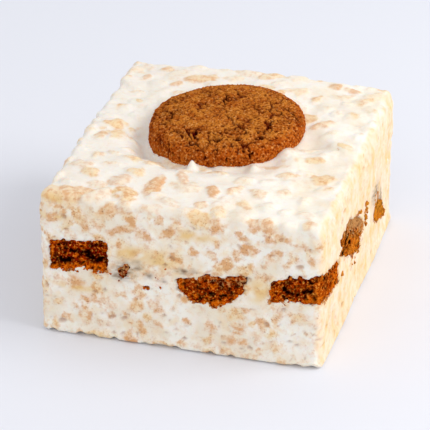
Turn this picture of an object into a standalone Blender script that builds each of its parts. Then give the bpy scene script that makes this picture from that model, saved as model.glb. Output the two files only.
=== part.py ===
"""Square-cut block of puffed rice and marshmallow with ginger cookies: one sunk in its top, and a layer
of cookie pieces inside it that shows where the block was cut.

Lengths are in millimetres and turned to metres when a mesh is made. +Z is up, the block stands on its
flat base at z = 0 about the Z axis, and the cut side that shows best faces -Y.
"""
import math
import random
from collections import namedtuple

import bmesh
import bpy
from mathutils import Matrix, Vector, noise
from mathutils.geometry import intersect_line_line_2d
from mathutils.kdtree import KDTree

MM = 0.001

# The pressed block
WIDTH = 83.0
DEPTH = 90.0
HEIGHT = 43.3
SIDE_ROUND = 2.6
TOP_ROUND = 4.8
BASE_ROUND = 0.8
BASE_SPREAD = 0.7
BASE_SPREAD_UP_TO = 7.0
GRID_STEP = 2.15
GRID_STEP_UP = 4.4

# The right side isn't square to the front: it steps out towards the back
RIGHT_AT_FRONT = 39.6
RIGHT_AT_MIDDLE = 40.4
RIGHT_AT_BACK = 41.5

# The top is crowned towards the back
CROWN = 1.8
CROWN_STARTS = -10.0

# Unevenness of the surface
LUMP_LENGTH = 16.0
LUMP_TOP = 0.8
LUMP_SIDE = 0.35
BASE_FADE = 4.0

# Puffed grains of rice, which lie just under the surface as bumps
GRAIN_LENGTH = (6.0, 8.8)
GRAIN_WIDTH = (3.2, 4.4)
FILM_OVER_GRAIN = 0.9
GRAIN_RISE_TOP = 1.5
GRAIN_RISE_SIDE = 0.7
GRAIN_REACH_DOWN = 3.0
GRAIN_SPACING = 6.0
GRAIN_TRIES = 1500
GRAIN_SEED = 11

# Ginger cookies, all from one kind of round cookie
COOKIE_RADIUS = 22.0
COOKIE_THICKNESS = 9.4
RIM_LEVEL = 0.5
UNDERSIDE_POWER = 3.6
DOME_POWER = 2.9
CRACK_DEPTH = 0.6
CRACK_SPACING = 8.0
CRACK_WIDTH = 0.3
UNEVEN_LENGTH = 9.0
UNEVEN_RISE = 0.35
CLEARANCE = 0.3

# The whole cookie on top
TOP_COOKIE_AT = Vector((-1.1, 7.7, 39.8))
TOP_COOKIE_RADIUS = 22.7
TOP_COOKIE_LEAN = 1.5
RING_RADIUS = 24.5
RING_WIDTH = 3.4
RING_BACK = 0.4
RING_FRONT = -0.9

# How far the cut cookie pieces stay back from the block's plain side
CUT_INSET = 0.25

Cookie = namedtuple("Cookie", "name centre thickness dip lean upturned axis outline")
Grain = namedtuple("Grain", "centre normal along half_length half_width")

# Each piece in the layer is a round cookie about its centre, dipping towards +Y and leaning down
# towards -X by so many degrees. Where it was broken, it is cut to an outline that runs along an axis.
# The outline's corners are read along the other two axes, in the order X, Y, Z.
LAYER = (
    Cookie("cookie_slice_front_left", (-29.2, -45.5, 25.9), 9.3, 0.0, 5.8, False, "Y",
           ((-37.6, 18.0), (-20.8, 18.0), (-20.8, 34.0), (-37.6, 34.0))),
    Cookie("cookie_slice_front_middle", (8.4, -26.5, 23.5), 12.5, -14.0, 10.7, True, "Y",
           ((-1.8, 22.6), (-0.8, 19.4), (2.8, 16.4), (9.2, 14.9), (13.6, 17.0), (17.0, 20.6),
            (18.2, 28.6), (-1.8, 28.6))),
    Cookie("cookie_slice_front_right", (39.0, -42.5, 25.0), 8.0, 12.0, 9.0, False, "Z",
           ((23.8, -60.0), (60.0, -60.0), (60.0, -25.8), (37.6, -27.0), (29.6, -33.5), (25.0, -40.0))),
    Cookie("cookie_slice_right_middle", (54.6, -10.4, 23.4), 12.0, 24.0, 0.0, False, "X",
           ((-26.4, 10.0), (4.6, 10.0), (4.6, 36.0), (-26.4, 36.0))),
    Cookie("cookie_slice_right_back", (47.0, 23.0, 16.7), 11.0, 34.0, 0.0, False, "X",
           ((15.6, 12.4), (30.8, 8.6), (30.2, 12.4), (25.2, 19.4), (16.4, 24.4))),
    Cookie("cookie_slice_left", (-27.6, 4.0, 24.0), 9.4, 3.0, -2.0, False, None, None),
    Cookie("cookie_slice_back_left", (-33.2, 50.5, 25.5), 9.4, 0.0, -3.0, True, None, None),
    Cookie("cookie_slice_back", (13.0, 49.5, 22.5), 9.0, -4.0, 4.0, False, None, None),
)

# A chip of cookie that shows in the front between the larger pieces
CHIP_OUTLINE = ((-18.4, 22.9), (-16.3, 25.4), (-14.6, 24.7), (-14.7, 21.9), (-17.0, 20.2))
CHIP_LENGTH = 6.0

COOKIE_COLOUR = (0.380, 0.107, 0.014)
CRUMB_COLOUR = (0.190, 0.028, 0.004)
MARSHMALLOW_COLOUR = (0.850, 0.690, 0.510)


def clear_scene():
    for item in list(bpy.data.objects):
        bpy.data.objects.remove(item, do_unlink=True)


def food_material(name, colour, roughness):
    material = bpy.data.materials.new(name)
    material.use_nodes = True
    shader = material.node_tree.nodes["Principled BSDF"]
    shader.inputs["Base Color"].default_value = (*colour, 1.0)
    shader.inputs["Roughness"].default_value = roughness
    shader.inputs["Metallic"].default_value = 0.0
    return material


def add_object(name, bm, material=None):
    """Turn a bmesh in millimetres into an object in metres."""
    bmesh.ops.scale(bm, vec=(MM, MM, MM), verts=bm.verts)
    mesh = bpy.data.meshes.new(name)
    bm.to_mesh(mesh)
    bm.free()
    item = bpy.data.objects.new(name, mesh)
    bpy.context.scene.collection.objects.link(item)
    if material:
        mesh.materials.append(material)
    return item


def carve(item, tool, operation):
    """Apply one Boolean to an object's mesh, and remove the tool."""
    modifier = item.modifiers.new("Carve", "BOOLEAN")
    modifier.solver = "EXACT"
    modifier.operation = operation
    modifier.object = tool
    depsgraph = bpy.context.evaluated_depsgraph_get()
    carved = bpy.data.meshes.new_from_object(item.evaluated_get(depsgraph))
    item.modifiers.clear()
    plain = item.data
    item.data = carved
    bpy.data.meshes.remove(plain)
    carved.name = item.name
    bpy.data.objects.remove(tool, do_unlink=True)


def smooth_step(low, high, value):
    t = min(max((value - low) / (high - low), 0.0), 1.0)
    return t * t * (3.0 - 2.0 * t)


def right_side(y):
    """Where the right side stands at a given depth."""
    out = RIGHT_AT_FRONT + (RIGHT_AT_MIDDLE - RIGHT_AT_FRONT) * smooth_step(-0.5 * DEPTH, -15.0, y)
    return out + (RIGHT_AT_BACK - RIGHT_AT_MIDDLE) * smooth_step(-10.0, 18.0, y)


def grown(outline, distance):
    """Offset a closed outline outwards. Its points run anticlockwise or clockwise."""
    points = [Vector(point) for point in outline]
    doubled_area = sum(a.x * b.y - b.x * a.y for a, b in zip(points, points[1:] + points[:1]))
    side = distance if doubled_area > 0.0 else -distance
    edges = []
    for a, b in zip(points, points[1:] + points[:1]):
        along = (b - a).normalized()
        shift = Vector((along.y, -along.x)) * side
        edges.append((a + shift, b + shift, along))
    moved = []
    for before, after in zip(edges[-1:] + edges[:-1], edges):
        corner = intersect_line_line_2d(before[0] - before[2] * 500.0, before[1] + before[2] * 500.0,
                                        after[0] - after[2] * 500.0, after[1] + after[2] * 500.0)
        moved.append(corner if corner else after[0])
    return moved


def prism(outline, axis, start, end):
    """Closed solid of an outline that runs along one axis."""
    bm = bmesh.new()
    index = "XYZ".index(axis)
    corners = []
    for first, second in outline:
        place = [first, second]
        place.insert(index, start)
        corners.append(bm.verts.new(place))
    face = bm.faces.new(corners)
    extruded = bmesh.ops.extrude_face_region(bm, geom=[face])
    travel = Vector((0.0, 0.0, 0.0))
    travel[index] = end - start
    moved = [part for part in extruded["geom"] if isinstance(part, bmesh.types.BMVert)]
    bmesh.ops.translate(bm, vec=travel, verts=moved)
    bmesh.ops.recalc_face_normals(bm, faces=bm.faces)
    return bm


def cookie_profile(radius, thickness, rings):
    """Half outline of a baked cookie, from its flat underside round the fat rim to the domed top."""
    rim = thickness * RIM_LEVEL
    under = []
    top = []
    for step in range(rings + 1):
        share = 1.0 - (1.0 - step / rings) ** 1.7
        under_drop = (1.0 - share ** UNDERSIDE_POWER) ** (1.0 / UNDERSIDE_POWER)
        dome_rise = (1.0 - share ** DOME_POWER) ** (1.0 / DOME_POWER)
        under.append(Vector((radius * share, 0.0, rim * (1.0 - under_drop))))
        top.append(Vector((radius * share, 0.0, rim + (thickness - rim) * dome_rise)))
    return under + top[-2::-1]


def crack_depth(place, spacing):
    """0 on the crumb, up to 1 in the cracks between its plates."""
    distances = noise.voronoi(place / spacing, distance_metric="DISTANCE", exponent=2.5)[0]
    return max(0.0, 1.0 - (distances[1] - distances[0]) / CRACK_WIDTH)


def cookie_form(radius, thickness, segments, rings, upturned=False, seed=0.0, cracked=0.0):
    """A whole cookie about the Z axis, its middle height at z = 0."""
    bm = bmesh.new()
    profile = [bm.verts.new(point) for point in cookie_profile(radius, thickness, rings)]
    edges = [bm.edges.new(pair) for pair in zip(profile, profile[1:])]
    bmesh.ops.spin(bm, geom=profile + edges, cent=(0, 0, 0), axis=(0, 0, 1), angle=math.tau,
                   steps=segments)
    bmesh.ops.remove_doubles(bm, verts=bm.verts, dist=0.001)
    bmesh.ops.recalc_face_normals(bm, faces=bm.faces)
    bm.normal_update()
    shift = Vector((0.0, 0.0, seed))
    moves = {}
    for vert in bm.verts:
        uneven = noise.noise(vert.co / UNEVEN_LENGTH + shift) * UNEVEN_RISE
        crack = crack_depth(vert.co + shift * 10.0, CRACK_SPACING) if vert.normal.z > 0.0 else 0.0
        moves[vert] = vert.normal * (uneven - crack * CRACK_DEPTH) * cracked
    for vert, move in moves.items():
        vert.co += move
    bmesh.ops.translate(bm, vec=(0.0, 0.0, -0.5 * thickness), verts=bm.verts)
    if upturned:
        bmesh.ops.rotate(bm, cent=(0, 0, 0), matrix=Matrix.Rotation(math.pi, 3, "X"), verts=bm.verts)
    return bm


def place_form(bm, centre, dip, lean):
    """Dip a form towards +Y, lean it down towards -X, and set it at its centre."""
    turn = Matrix.Rotation(math.radians(-lean), 4, "Y") @ Matrix.Rotation(math.radians(-dip), 4, "X")
    bmesh.ops.transform(bm, matrix=Matrix.Translation(centre) @ turn, verts=bm.verts)
    return bm


def block_core(inset):
    """The block's plain plan, inset, as a tall prism that trims the cookie pieces flush."""
    half_depth = 0.5 * DEPTH - inset
    steps = 12
    right = []
    for step in range(steps + 1):
        y = -half_depth + 2.0 * half_depth * step / steps
        right.append((right_side(y) - inset, y))
    corner = SIDE_ROUND * 0.6
    outline = [(-0.5 * WIDTH + inset, half_depth - corner), (-0.5 * WIDTH + inset, corner - half_depth),
               (-0.5 * WIDTH + inset + corner, -half_depth), (right[0][0] - corner, -half_depth)]
    outline += [(right[0][0], corner - half_depth)] + right[1:-1]
    outline += [(right[-1][0], half_depth - corner), (right[-1][0] - corner, half_depth)]
    outline += [(-0.5 * WIDTH + inset + corner, half_depth)]
    return prism(outline, "Z", 2.0, HEIGHT)


def scatter_grains():
    """Grains on the top and the four sides, none nearer to another than the spacing."""
    rng = random.Random(GRAIN_SEED)
    half = Vector((0.5 * WIDTH, 0.5 * DEPTH, 0.5 * HEIGHT))
    middle = Vector((0.0, 0.0, half.z))
    sides = (Vector((0, 0, 1)), Vector((0, -1, 0)), Vector((1, 0, 0)), Vector((0, 1, 0)), Vector((-1, 0, 0)))
    grains = []
    for normal in sides:
        across = Vector((1, 0, 0)) if abs(normal.x) < 0.5 else Vector((0, 1, 0))
        upward = normal.cross(across)
        reach = (abs(across.dot(half)), abs(upward.dot(half)))
        placed = []
        for _ in range(GRAIN_TRIES):
            spot = Vector((rng.uniform(-1.0, 1.0) * reach[0], rng.uniform(-1.0, 1.0) * reach[1]))
            turn = rng.uniform(0.0, math.pi)
            length = rng.uniform(*GRAIN_LENGTH)
            width = rng.uniform(*GRAIN_WIDTH)
            if any((spot - other).length < GRAIN_SPACING for other in placed):
                continue
            placed.append(spot)
            centre = middle + normal * abs(normal.dot(half)) + across * spot.x + upward * spot.y
            along = across * math.cos(turn) + upward * math.sin(turn)
            half_sizes = (0.5 * length + FILM_OVER_GRAIN, 0.5 * width + FILM_OVER_GRAIN)
            grains.append(Grain(centre, normal, along, *half_sizes))
    return grains


def box_grid():
    """A box cut into a grid, with lines where its edges start to round, and one face as its base."""
    bm = bmesh.new()
    bmesh.ops.create_cube(bm, size=1.0)
    bmesh.ops.scale(bm, vec=(WIDTH, DEPTH, HEIGHT), verts=bm.verts)
    bmesh.ops.translate(bm, vec=(0.0, 0.0, 0.5 * HEIGHT), verts=bm.verts)
    spans = ((0, -0.5 * WIDTH, 0.5 * WIDTH, SIDE_ROUND, SIDE_ROUND, GRID_STEP),
             (1, -0.5 * DEPTH, 0.5 * DEPTH, SIDE_ROUND, SIDE_ROUND, GRID_STEP),
             (2, 0.0, HEIGHT, BASE_ROUND, TOP_ROUND, GRID_STEP_UP))
    for axis, low, high, low_round, high_round, step in spans:
        inner = high - high_round - low - low_round
        count = round(inner / step)
        levels = [low + low_round + inner * number / count for number in range(count + 1)]
        levels.append(high - 0.45 * high_round)
        if axis < 2:
            levels.append(low + 0.45 * low_round)
        normal = Vector((0.0, 0.0, 0.0))
        normal[axis] = 1.0
        for level in levels:
            everything = bm.verts[:] + bm.edges[:] + bm.faces[:]
            bmesh.ops.bisect_plane(bm, geom=everything, plane_co=normal * level, plane_no=normal)
    return bm


def rounded(point):
    """Move a point of the plain box onto the box with rounded edges."""
    reach_x = 0.5 * WIDTH - SIDE_ROUND
    reach_y = 0.5 * DEPTH - SIDE_ROUND
    inner = Vector((min(max(point.x, -reach_x), reach_x),
                    min(max(point.y, -reach_y), reach_y),
                    min(max(point.z, BASE_ROUND), HEIGHT - TOP_ROUND)))
    radii = Vector((SIDE_ROUND, SIDE_ROUND, TOP_ROUND if point.z > inner.z else BASE_ROUND))
    away = Vector((part / radius for part, radius in zip(point - inner, radii)))
    if away.length > 1.0:
        away.normalize()
    return inner + Vector((part * radius for part, radius in zip(away, radii)))


def ring_rise(x, y):
    """Rise of the marshmallow round the cookie: pushed up behind it, and dragged down in front of it."""
    away = Vector((x - TOP_COOKIE_AT.x, y - TOP_COOKIE_AT.y))
    ring = math.exp(-((away.length - RING_RADIUS) / RING_WIDTH) ** 2)
    facing_front = 0.5 - 0.5 * away.y / max(away.length, 1.0)
    return ring * (RING_BACK + (RING_FRONT - RING_BACK) * facing_front)


def crown(x, y):
    """The top's gentle rise, highest in the middle of the back."""
    share = 2.0 * x / WIDTH
    return CROWN * smooth_step(CROWN_STARTS, 0.5 * DEPTH, y) * (1.0 - 0.6 * share * share)


def grain_rise(point, normal, grains, finder):
    """How far the grain nearest under a point lifts the surface there."""
    height = GRAIN_RISE_TOP if normal.z > 0.6 else GRAIN_RISE_SIDE
    rise = 0.0
    for _, index, _ in finder.find_range(point, 0.5 * GRAIN_LENGTH[1] + FILM_OVER_GRAIN):
        grain = grains[index]
        away = point - grain.centre
        along = away.dot(grain.along) / grain.half_length
        across = away.dot(grain.normal.cross(grain.along)) / grain.half_width
        down = away.dot(grain.normal) / GRAIN_REACH_DOWN
        rise = max(rise, 1.0 - along ** 2 - across ** 2 - down ** 2)
    return height * rise


def build_block(material):
    """The marshmallow block with its grain bumps, before the cookies' pockets."""
    bm = box_grid()
    for vert in bm.verts:
        vert.co = rounded(vert.co)
    base = [face for face in bm.faces if all(vert.co.z < 1e-4 for vert in face.verts)]
    bmesh.ops.dissolve_faces(bm, faces=base)
    bm.normal_update()
    grains = scatter_grains()
    finder = KDTree(len(grains))
    for index, grain in enumerate(grains):
        finder.insert(grain.centre, index)
    finder.balance()
    moves = {}
    for vert in bm.verts:
        if vert.co.z < 1e-4:
            continue
        normal = vert.normal.copy()
        lump = LUMP_TOP if normal.z > 0.6 else LUMP_SIDE
        move = noise.noise(vert.co / LUMP_LENGTH) * lump
        move += grain_rise(vert.co, normal, grains, finder) - 0.5 * GRAIN_RISE_SIDE
        moves[vert] = normal * move * smooth_step(0.0, BASE_FADE, vert.co.z)
        raised = ring_rise(vert.co.x, vert.co.y) + crown(vert.co.x, vert.co.y)
        moves[vert].z += raised * max(normal.z, 0.0)
    for vert, move in moves.items():
        vert.co += move
    for vert in bm.verts:
        share = max(vert.co.x, 0.0) / (0.5 * WIDTH)
        vert.co.x += (right_side(vert.co.y) - 0.5 * WIDTH) * share
        spread = BASE_SPREAD * max(1.0 - vert.co.z / BASE_SPREAD_UP_TO, 0.0) ** 2
        vert.co.x += spread * share
        vert.co.y *= 1.0 + 2.0 * spread / DEPTH
    centre_on_axis(bm)
    return add_object("marshmallow_rice_block", bm, material)


def centre_on_axis(bm):
    """Bring the block's plan to its exact width and depth about the Z axis."""
    for axis, size in ((0, WIDTH), (1, DEPTH)):
        low = min(vert.co[axis] for vert in bm.verts)
        high = max(vert.co[axis] for vert in bm.verts)
        for vert in bm.verts:
            vert.co[axis] = (vert.co[axis] - 0.5 * (low + high)) * size / (high - low)


def sink_top_cookie(block, material):
    """Set the whole cookie in a crater of its own shape."""
    lift = Vector((0.0, 0.0, 0.5 * COOKIE_THICKNESS))
    cookie = cookie_form(TOP_COOKIE_RADIUS, COOKIE_THICKNESS, 44, 9, cracked=1.0)
    place_form(cookie, TOP_COOKIE_AT + lift, 0.0, TOP_COOKIE_LEAN)
    add_object("ginger_cookie_top", cookie, material)
    crater = cookie_form(TOP_COOKIE_RADIUS + 0.4 + CLEARANCE, COOKIE_THICKNESS + 0.8 + 2.0 * CLEARANCE, 44, 5)
    place_form(crater, TOP_COOKIE_AT + lift, 0.0, TOP_COOKIE_LEAN)
    carve(block, add_object("crater", crater), "DIFFERENCE")


def limit_span(piece):
    """Start and end of a broken piece's outline along its axis: from outside the block well into it."""
    if piece.axis == "Y":
        return -0.5 * DEPTH - 4.0, piece.centre[1] + COOKIE_RADIUS
    if piece.axis == "X":
        return RIGHT_AT_BACK + 4.0, RIGHT_AT_BACK - 14.0
    return 4.0, HEIGHT - 6.0


def layer_form(piece, gap, seed):
    """A cookie of the layer, whole or broken to its outline, larger all round by a gap."""
    bm = cookie_form(COOKIE_RADIUS + gap, piece.thickness + 2.0 * gap, 28, 4, piece.upturned, seed)
    place_form(bm, Vector(piece.centre), piece.dip, piece.lean)
    item = add_object(piece.name if gap == 0.0 else "pocket", bm)
    if piece.axis:
        start, end = limit_span(piece)
        deeper = math.copysign(gap, end - start)
        tool = prism(grown(piece.outline, gap), piece.axis, start, end + deeper)
        carve(item, add_object("outline", tool), "INTERSECT")
    return item


def add_layer(block, material):
    """Cut each cookie of the layer flush with the block's sides, and make its pocket."""
    for number, piece in enumerate(LAYER):
        slice_item = layer_form(piece, 0.0, float(number))
        carve(slice_item, add_object("sides", block_core(CUT_INSET)), "INTERSECT")
        slice_item.data.materials.clear()
        slice_item.data.materials.append(material)
        carve(block, layer_form(piece, CLEARANCE, float(number)), "DIFFERENCE")


def add_chip(block, material):
    """The small chip of cookie in the front side."""
    face = -0.5 * DEPTH
    chip = prism(CHIP_OUTLINE, "Y", face + CUT_INSET, face + CHIP_LENGTH)
    add_object("cookie_chip_front", chip, material)
    pocket = prism(grown(CHIP_OUTLINE, CLEARANCE), "Y", face - 4.0, face + CHIP_LENGTH + CLEARANCE)
    carve(block, add_object("pocket", pocket), "DIFFERENCE")


def shade(item):
    item.data.shade_smooth()
    item.data.set_sharp_from_angle(angle=math.radians(40.0))


def main():
    clear_scene()
    marshmallow = food_material("marshmallow_and_puffed_rice", MARSHMALLOW_COLOUR, 0.45)
    baked = food_material("baked_ginger_cookie", COOKIE_COLOUR, 0.8)
    crumb = food_material("cut_cookie_crumb", CRUMB_COLOUR, 0.85)
    block = build_block(marshmallow)
    sink_top_cookie(block, baked)
    add_layer(block, crumb)
    add_chip(block, crumb)
    for item in bpy.context.scene.collection.objects:
        shade(item)


main()
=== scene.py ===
"""Looks of a square-cut block of puffed rice and marshmallow with ginger cookies on it and in it.

The script is laid out as an add-on. Property groups hold the sizes and colours, an operator makes each
piece or group of pieces, and a panel in the 3D view's sidebar lists them. Shapes are worked out in
millimetres, and a mesh is turned to metres when it is made. +Z is up, and the side that shows best
faces -Y.
"""
import math
import random
from collections import namedtuple

import bmesh
import bpy
import numpy as np
from bpy.props import FloatProperty, FloatVectorProperty, IntProperty, PointerProperty
from mathutils import Matrix, Vector, noise
from mathutils.bvhtree import BVHTree
from mathutils.kdtree import KDTree


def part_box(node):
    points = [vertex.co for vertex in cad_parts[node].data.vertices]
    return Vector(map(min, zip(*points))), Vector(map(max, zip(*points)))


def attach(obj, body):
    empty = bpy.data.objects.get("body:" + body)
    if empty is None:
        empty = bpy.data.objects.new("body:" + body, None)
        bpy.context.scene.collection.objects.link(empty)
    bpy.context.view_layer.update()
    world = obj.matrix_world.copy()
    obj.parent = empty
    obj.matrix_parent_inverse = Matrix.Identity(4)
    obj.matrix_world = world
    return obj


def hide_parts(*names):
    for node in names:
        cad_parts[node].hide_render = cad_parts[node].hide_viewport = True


bl_info = {
    "name": "Puffed rice and marshmallow treat",
    "version": (1, 0, 0),
    "blender": (4, 5, 0),
    "location": "View3D > Sidebar > Treat",
    "description": "Makes the surfaces of a cut block of puffed rice, marshmallow and ginger cookies",
    "category": "Object",
}

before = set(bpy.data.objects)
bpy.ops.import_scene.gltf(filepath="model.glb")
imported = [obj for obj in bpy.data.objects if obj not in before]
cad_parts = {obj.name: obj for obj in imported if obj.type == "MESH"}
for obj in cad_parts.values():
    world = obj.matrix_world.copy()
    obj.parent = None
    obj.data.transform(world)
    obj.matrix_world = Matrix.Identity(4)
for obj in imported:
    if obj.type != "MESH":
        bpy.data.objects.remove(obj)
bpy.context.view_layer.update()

MM = 0.001
BLOCK = "marshmallow_rice_block"
TOP_COOKIE = "ginger_cookie_top"
SLICES = tuple(sorted(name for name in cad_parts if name.startswith("cookie_")))

# The block's plain form, in millimetres, and the radius of its upright, upper and lower edges
WIDTH, DEPTH = ((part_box(BLOCK)[1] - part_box(BLOCK)[0]) / MM).xy
HEIGHT = 43.3
HALF = Vector((0.5 * WIDTH, 0.5 * DEPTH, 0.5 * HEIGHT))
SIDE_ROUND = 2.8
TOP_ROUND = 5.2
BASE_ROUND = 1.0

# The right side isn't square to the front: how far out it stands
RIGHT_AT_FRONT = 39.6
RIGHT_AT_MIDDLE = 40.4
RIGHT_AT_BACK = 41.3

# The top rises to the back, and swells and dips in a ring round the cookie
CROWN = 1.8
CROWN_STARTS = -10.0
RING_RADIUS = 24.5
RING_WIDTH = 3.4

# How deep the cookie's bed is, and how far the surface stays inside its plain form and sinks at a cut piece
BED_DEPTH = 4.0
SURFACE_INSET = 0.25
DENT_DEPTH = 1.7

# How far the foot of the block spreads, from which height down, and up to which height it is nicked
FOOT_SPREAD = 0.7
FOOT_HEIGHT = 7.0
NICKED_HEIGHT = 2.5

# The cookie on top, read from its solid, with its tilt in degrees, how far its front left edge droops, and
# how much wider it is there
COOKIE_LOW, COOKIE_HIGH = (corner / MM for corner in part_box(TOP_COOKIE))
COOKIE_MIDDLE = (COOKIE_LOW + COOKIE_HIGH) / 2.0
COOKIE_RADIUS = (COOKIE_HIGH.y - COOKIE_LOW.y) / 2.0
COOKIE_THICKNESS = 9.6
COOKIE_LEAN = 2.1
COOKIE_NOD = 0.8
COOKIE_DROOP = 2.3
COOKIE_DROOPS_AT = math.radians(215.0)
COOKIE_WIDENS = 0.035

# How full the cookie's round rim is above and below its middle, where 2 is a circle, and the share of its
# radius at which the rim starts
RIM_ABOVE = 2.9
RIM_BELOW = 3.6
RIM_STARTS = 0.955

# The ways out of the top and the four sides
SIDES = tuple(Vector(way) for way in ((0, 0, 1), (0, -1, 0), (1, 0, 0), (0, 1, 0), (-1, 0, 0)))

# Grains are tried at random this often on each side, and stay this far apart, in millimetres. On top they
# stay further apart by their size. Random ones also keep off the grains that are listed
GRAIN_TRIES = 9000
APART_ON_TOP = 3.6
APART_BY_SIZE = 2.6
APART_IN_SIDES = 4.0
CLEAR_ON_TOP = 4.6
CLEAR_IN_SIDES = 3.0

# How far a grain lifts the surface of a cut side, in millimetres
RISE_IN_SIDES = 0.15

# A grain that shows more strongly than this lies bare, where it is in the open
BARE = 0.95

# How many air pits the knife opened in the sides
AIR_PITS = 650

# Between these heights the layer of cookies shows in the sides, in millimetres
LAYER_LOW = 3.0
LAYER_HIGH = 37.0

# What the camera looks at, in millimetres
AIM = Vector((-2.77, 0.0, 18.46))

# The floor's width in metres, and the soft lights, with their places and sizes in metres
FLOOR_SIZE = 7.0
Lamp = namedtuple("Lamp", "place size tint")
KEY_LAMP = Lamp((0.62, 0.02, 0.50), 0.55, (0.99, 0.985, 0.98))
FILL_LAMP = Lamp((-0.15, -0.9, 0.75), 0.8, (0.98, 0.99, 1.0))
SKY = (0.95, 0.965, 1.0, 1.0)

Grain = namedtuple("Grain", "centre side along half_length half_width strength tone picked")
Relief = namedtuple("Relief", "points faces marks")
Edges = namedtuple("Edges", "torn crumbling bites dent lap")


def linear(code):
    """An sRGB hex colour as linear red, green, blue and full alpha."""
    parts = [int(code[start:start + 2], 16) / 255.0 for start in (0, 2, 4)]
    return tuple(part / 12.92 if part <= 0.04045 else ((part + 0.055) / 1.055) ** 2.4
                 for part in parts) + (1.0,)


def colour(name, description, code):
    """A colour property with an sRGB hex default."""
    return FloatVectorProperty(name=name, description=description, subtype="COLOR", size=4,
                               min=0.0, max=1.0, default=linear(code))


def length(name, description, millimetres):
    """A length property with a default in millimetres."""
    return FloatProperty(name=name, description=description, unit="LENGTH", subtype="DISTANCE",
                         min=0.0, precision=5, default=millimetres * MM)


class BlockSettings(bpy.types.PropertyGroup):
    """The marshmallow and the puffed grains in it."""
    step: length("Surface step", "Size of the squares in the block's surface", 0.49)
    lump_top: length("Lumps on top", "Height of the broad lumps in the poured top", 0.8)
    lump_side: length("Lumps on the sides", "Height of the broad lumps in the cut sides", 0.35)
    grain_length: length("Grain length", "Middle length of a puffed grain", 7.4)
    grain_width: length("Grain width", "Middle width of a puffed grain", 3.8)
    grain_rise: length("Grain rise", "How far a grain on top lifts the film over it", 0.6)
    proud: length("Bare grain rise", "How far a bare grain stands out of the marshmallow", 0.16)
    wrinkle: length("Wrinkle", "Height of the wrinkles in a bare grain", 0.08)
    wrinkle_size: length("Wrinkle size", "Width of the wrinkles in a bare grain", 1.4)
    pit_depth: length("Pit depth", "Depth of the largest air pits in the cut sides", 0.9)
    seed: IntProperty(name="Seed", description="Start of the random draws for the grains", default=11)
    marshmallow: colour("Marshmallow", "Set marshmallow", "FBF4E8")
    # Painted shade: this colour greys the poured top toward its left side, where less of the key light
    # falls
    painted_left_shade: colour("Marshmallow, dull", "Marshmallow where the poured skin lost its froth", "F0E9DE")
    shade: colour("Marshmallow shade", "Marshmallow in its thicker, denser parts", "F1E5D0")
    grain_pale: colour("Pale grain", "Puffed rice, lightly toasted", "F0CE96")
    grain_toasted: colour("Toasted grain", "Puffed rice, toasted", "DEA468")
    # In the rice this is the pinholes' own colour; in the cut sides it is also painted into the air pits as
    # their shade
    pore_and_pit_shade: colour("Pore", "Pinholes in a cut grain", "B4764E")
    smear: colour("Smear", "Straw-coloured marshmallow dragged along by the knife", "F6DCBE")
    smear_dark: colour("Smear lines", "Rice dragged along by the knife", "EEC886")
    fleck: colour("Fleck", "Toasted bits of rice dragged along by the knife", "E0A050")
    straw: colour("Straw", "Straw-coloured marshmallow that sets clear", "EECA88")
    fringe: colour("Crust stain", "Marshmallow stained and dusted by a cut piece's crust", "C07010")
    fringe_dark: colour("Fringe, dark grit", "Moist grit in the crust pressed in a side", "6A2C04")
    fringe_light: colour("Fringe, light grit", "Dry grit in the crust pressed in a side", "D89A4C")
    smudge: colour("Smudge", "Marshmallow greyed by cookie dust under it", "826A52")


class CookieSettings(bpy.types.PropertyGroup):
    """The ginger cookies, whole and cut."""
    step: length("Surface step", "Size of the squares in the top cookie's surface", 0.22)
    crack_depth: length("Crack depth", "Depth of the cracks between the crust's plates", 0.9)
    grit: length("Grit", "Height of the crust's fine grit", 0.24)
    crumb: length("Crumb", "Height of the crumb on a cut face", 0.34)
    voxel: length("Crumb step", "Size of the squares in a cut piece's surface", 0.42)
    crumb_size: length("Loose crumb size", "Half the length of the largest loose crumb", 0.55)
    seed: IntProperty(name="Seed", description="Start of the random draws for the crumbs", default=5)
    crust: colour("Crust", "Baked crust of a ginger cookie", "AE5A16")
    # Pale plates of the crust, and painted light on the raised plates
    pale_crust_and_lit_plates: colour("Crust, raised", "Crust on the raised plates", "C87828")
    # Sugary tips, with painted highlight on the raised tips of the grit
    sugar_tip_and_highlight: colour("Crust, tips", "Sugary tips of the crust's grit", "E4A260")
    # Painted shade in the crust's cracks, pits and grit hollows
    crust_crack_shade: colour("Crust, sunk", "Crust in cracks and pits", "4E0200")
    rim: colour("Rim", "Darker baked rim", "B24600")
    inside: colour("Crumb", "Moist dark crumb of a cut cookie", "8E1800")
    inside_warm: colour("Crumb, drier", "Crumb of the pieces that are less moist", "B44202")
    inside_gold: colour("Crumb, driest", "Dry golden crumb of the pieces on the right", "CC8226")
    inside_light: colour("Crumb, raised", "Edges of the crumb that catch the light", "E8963A")
    # Painted shade in the holes and grit hollows of the crumb, and the colour of its moist dark patches
    moist_crumb_and_hole_shade: colour("Crumb, sunk", "Holes in the crumb", "0E0000")
    inside_edge: colour("Crumb at the crust", "Crumb next to the crust", "DA670A")
    veil: colour("Veil", "Crumb with a thin film of marshmallow smeared over it", "BC8A56")


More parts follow.
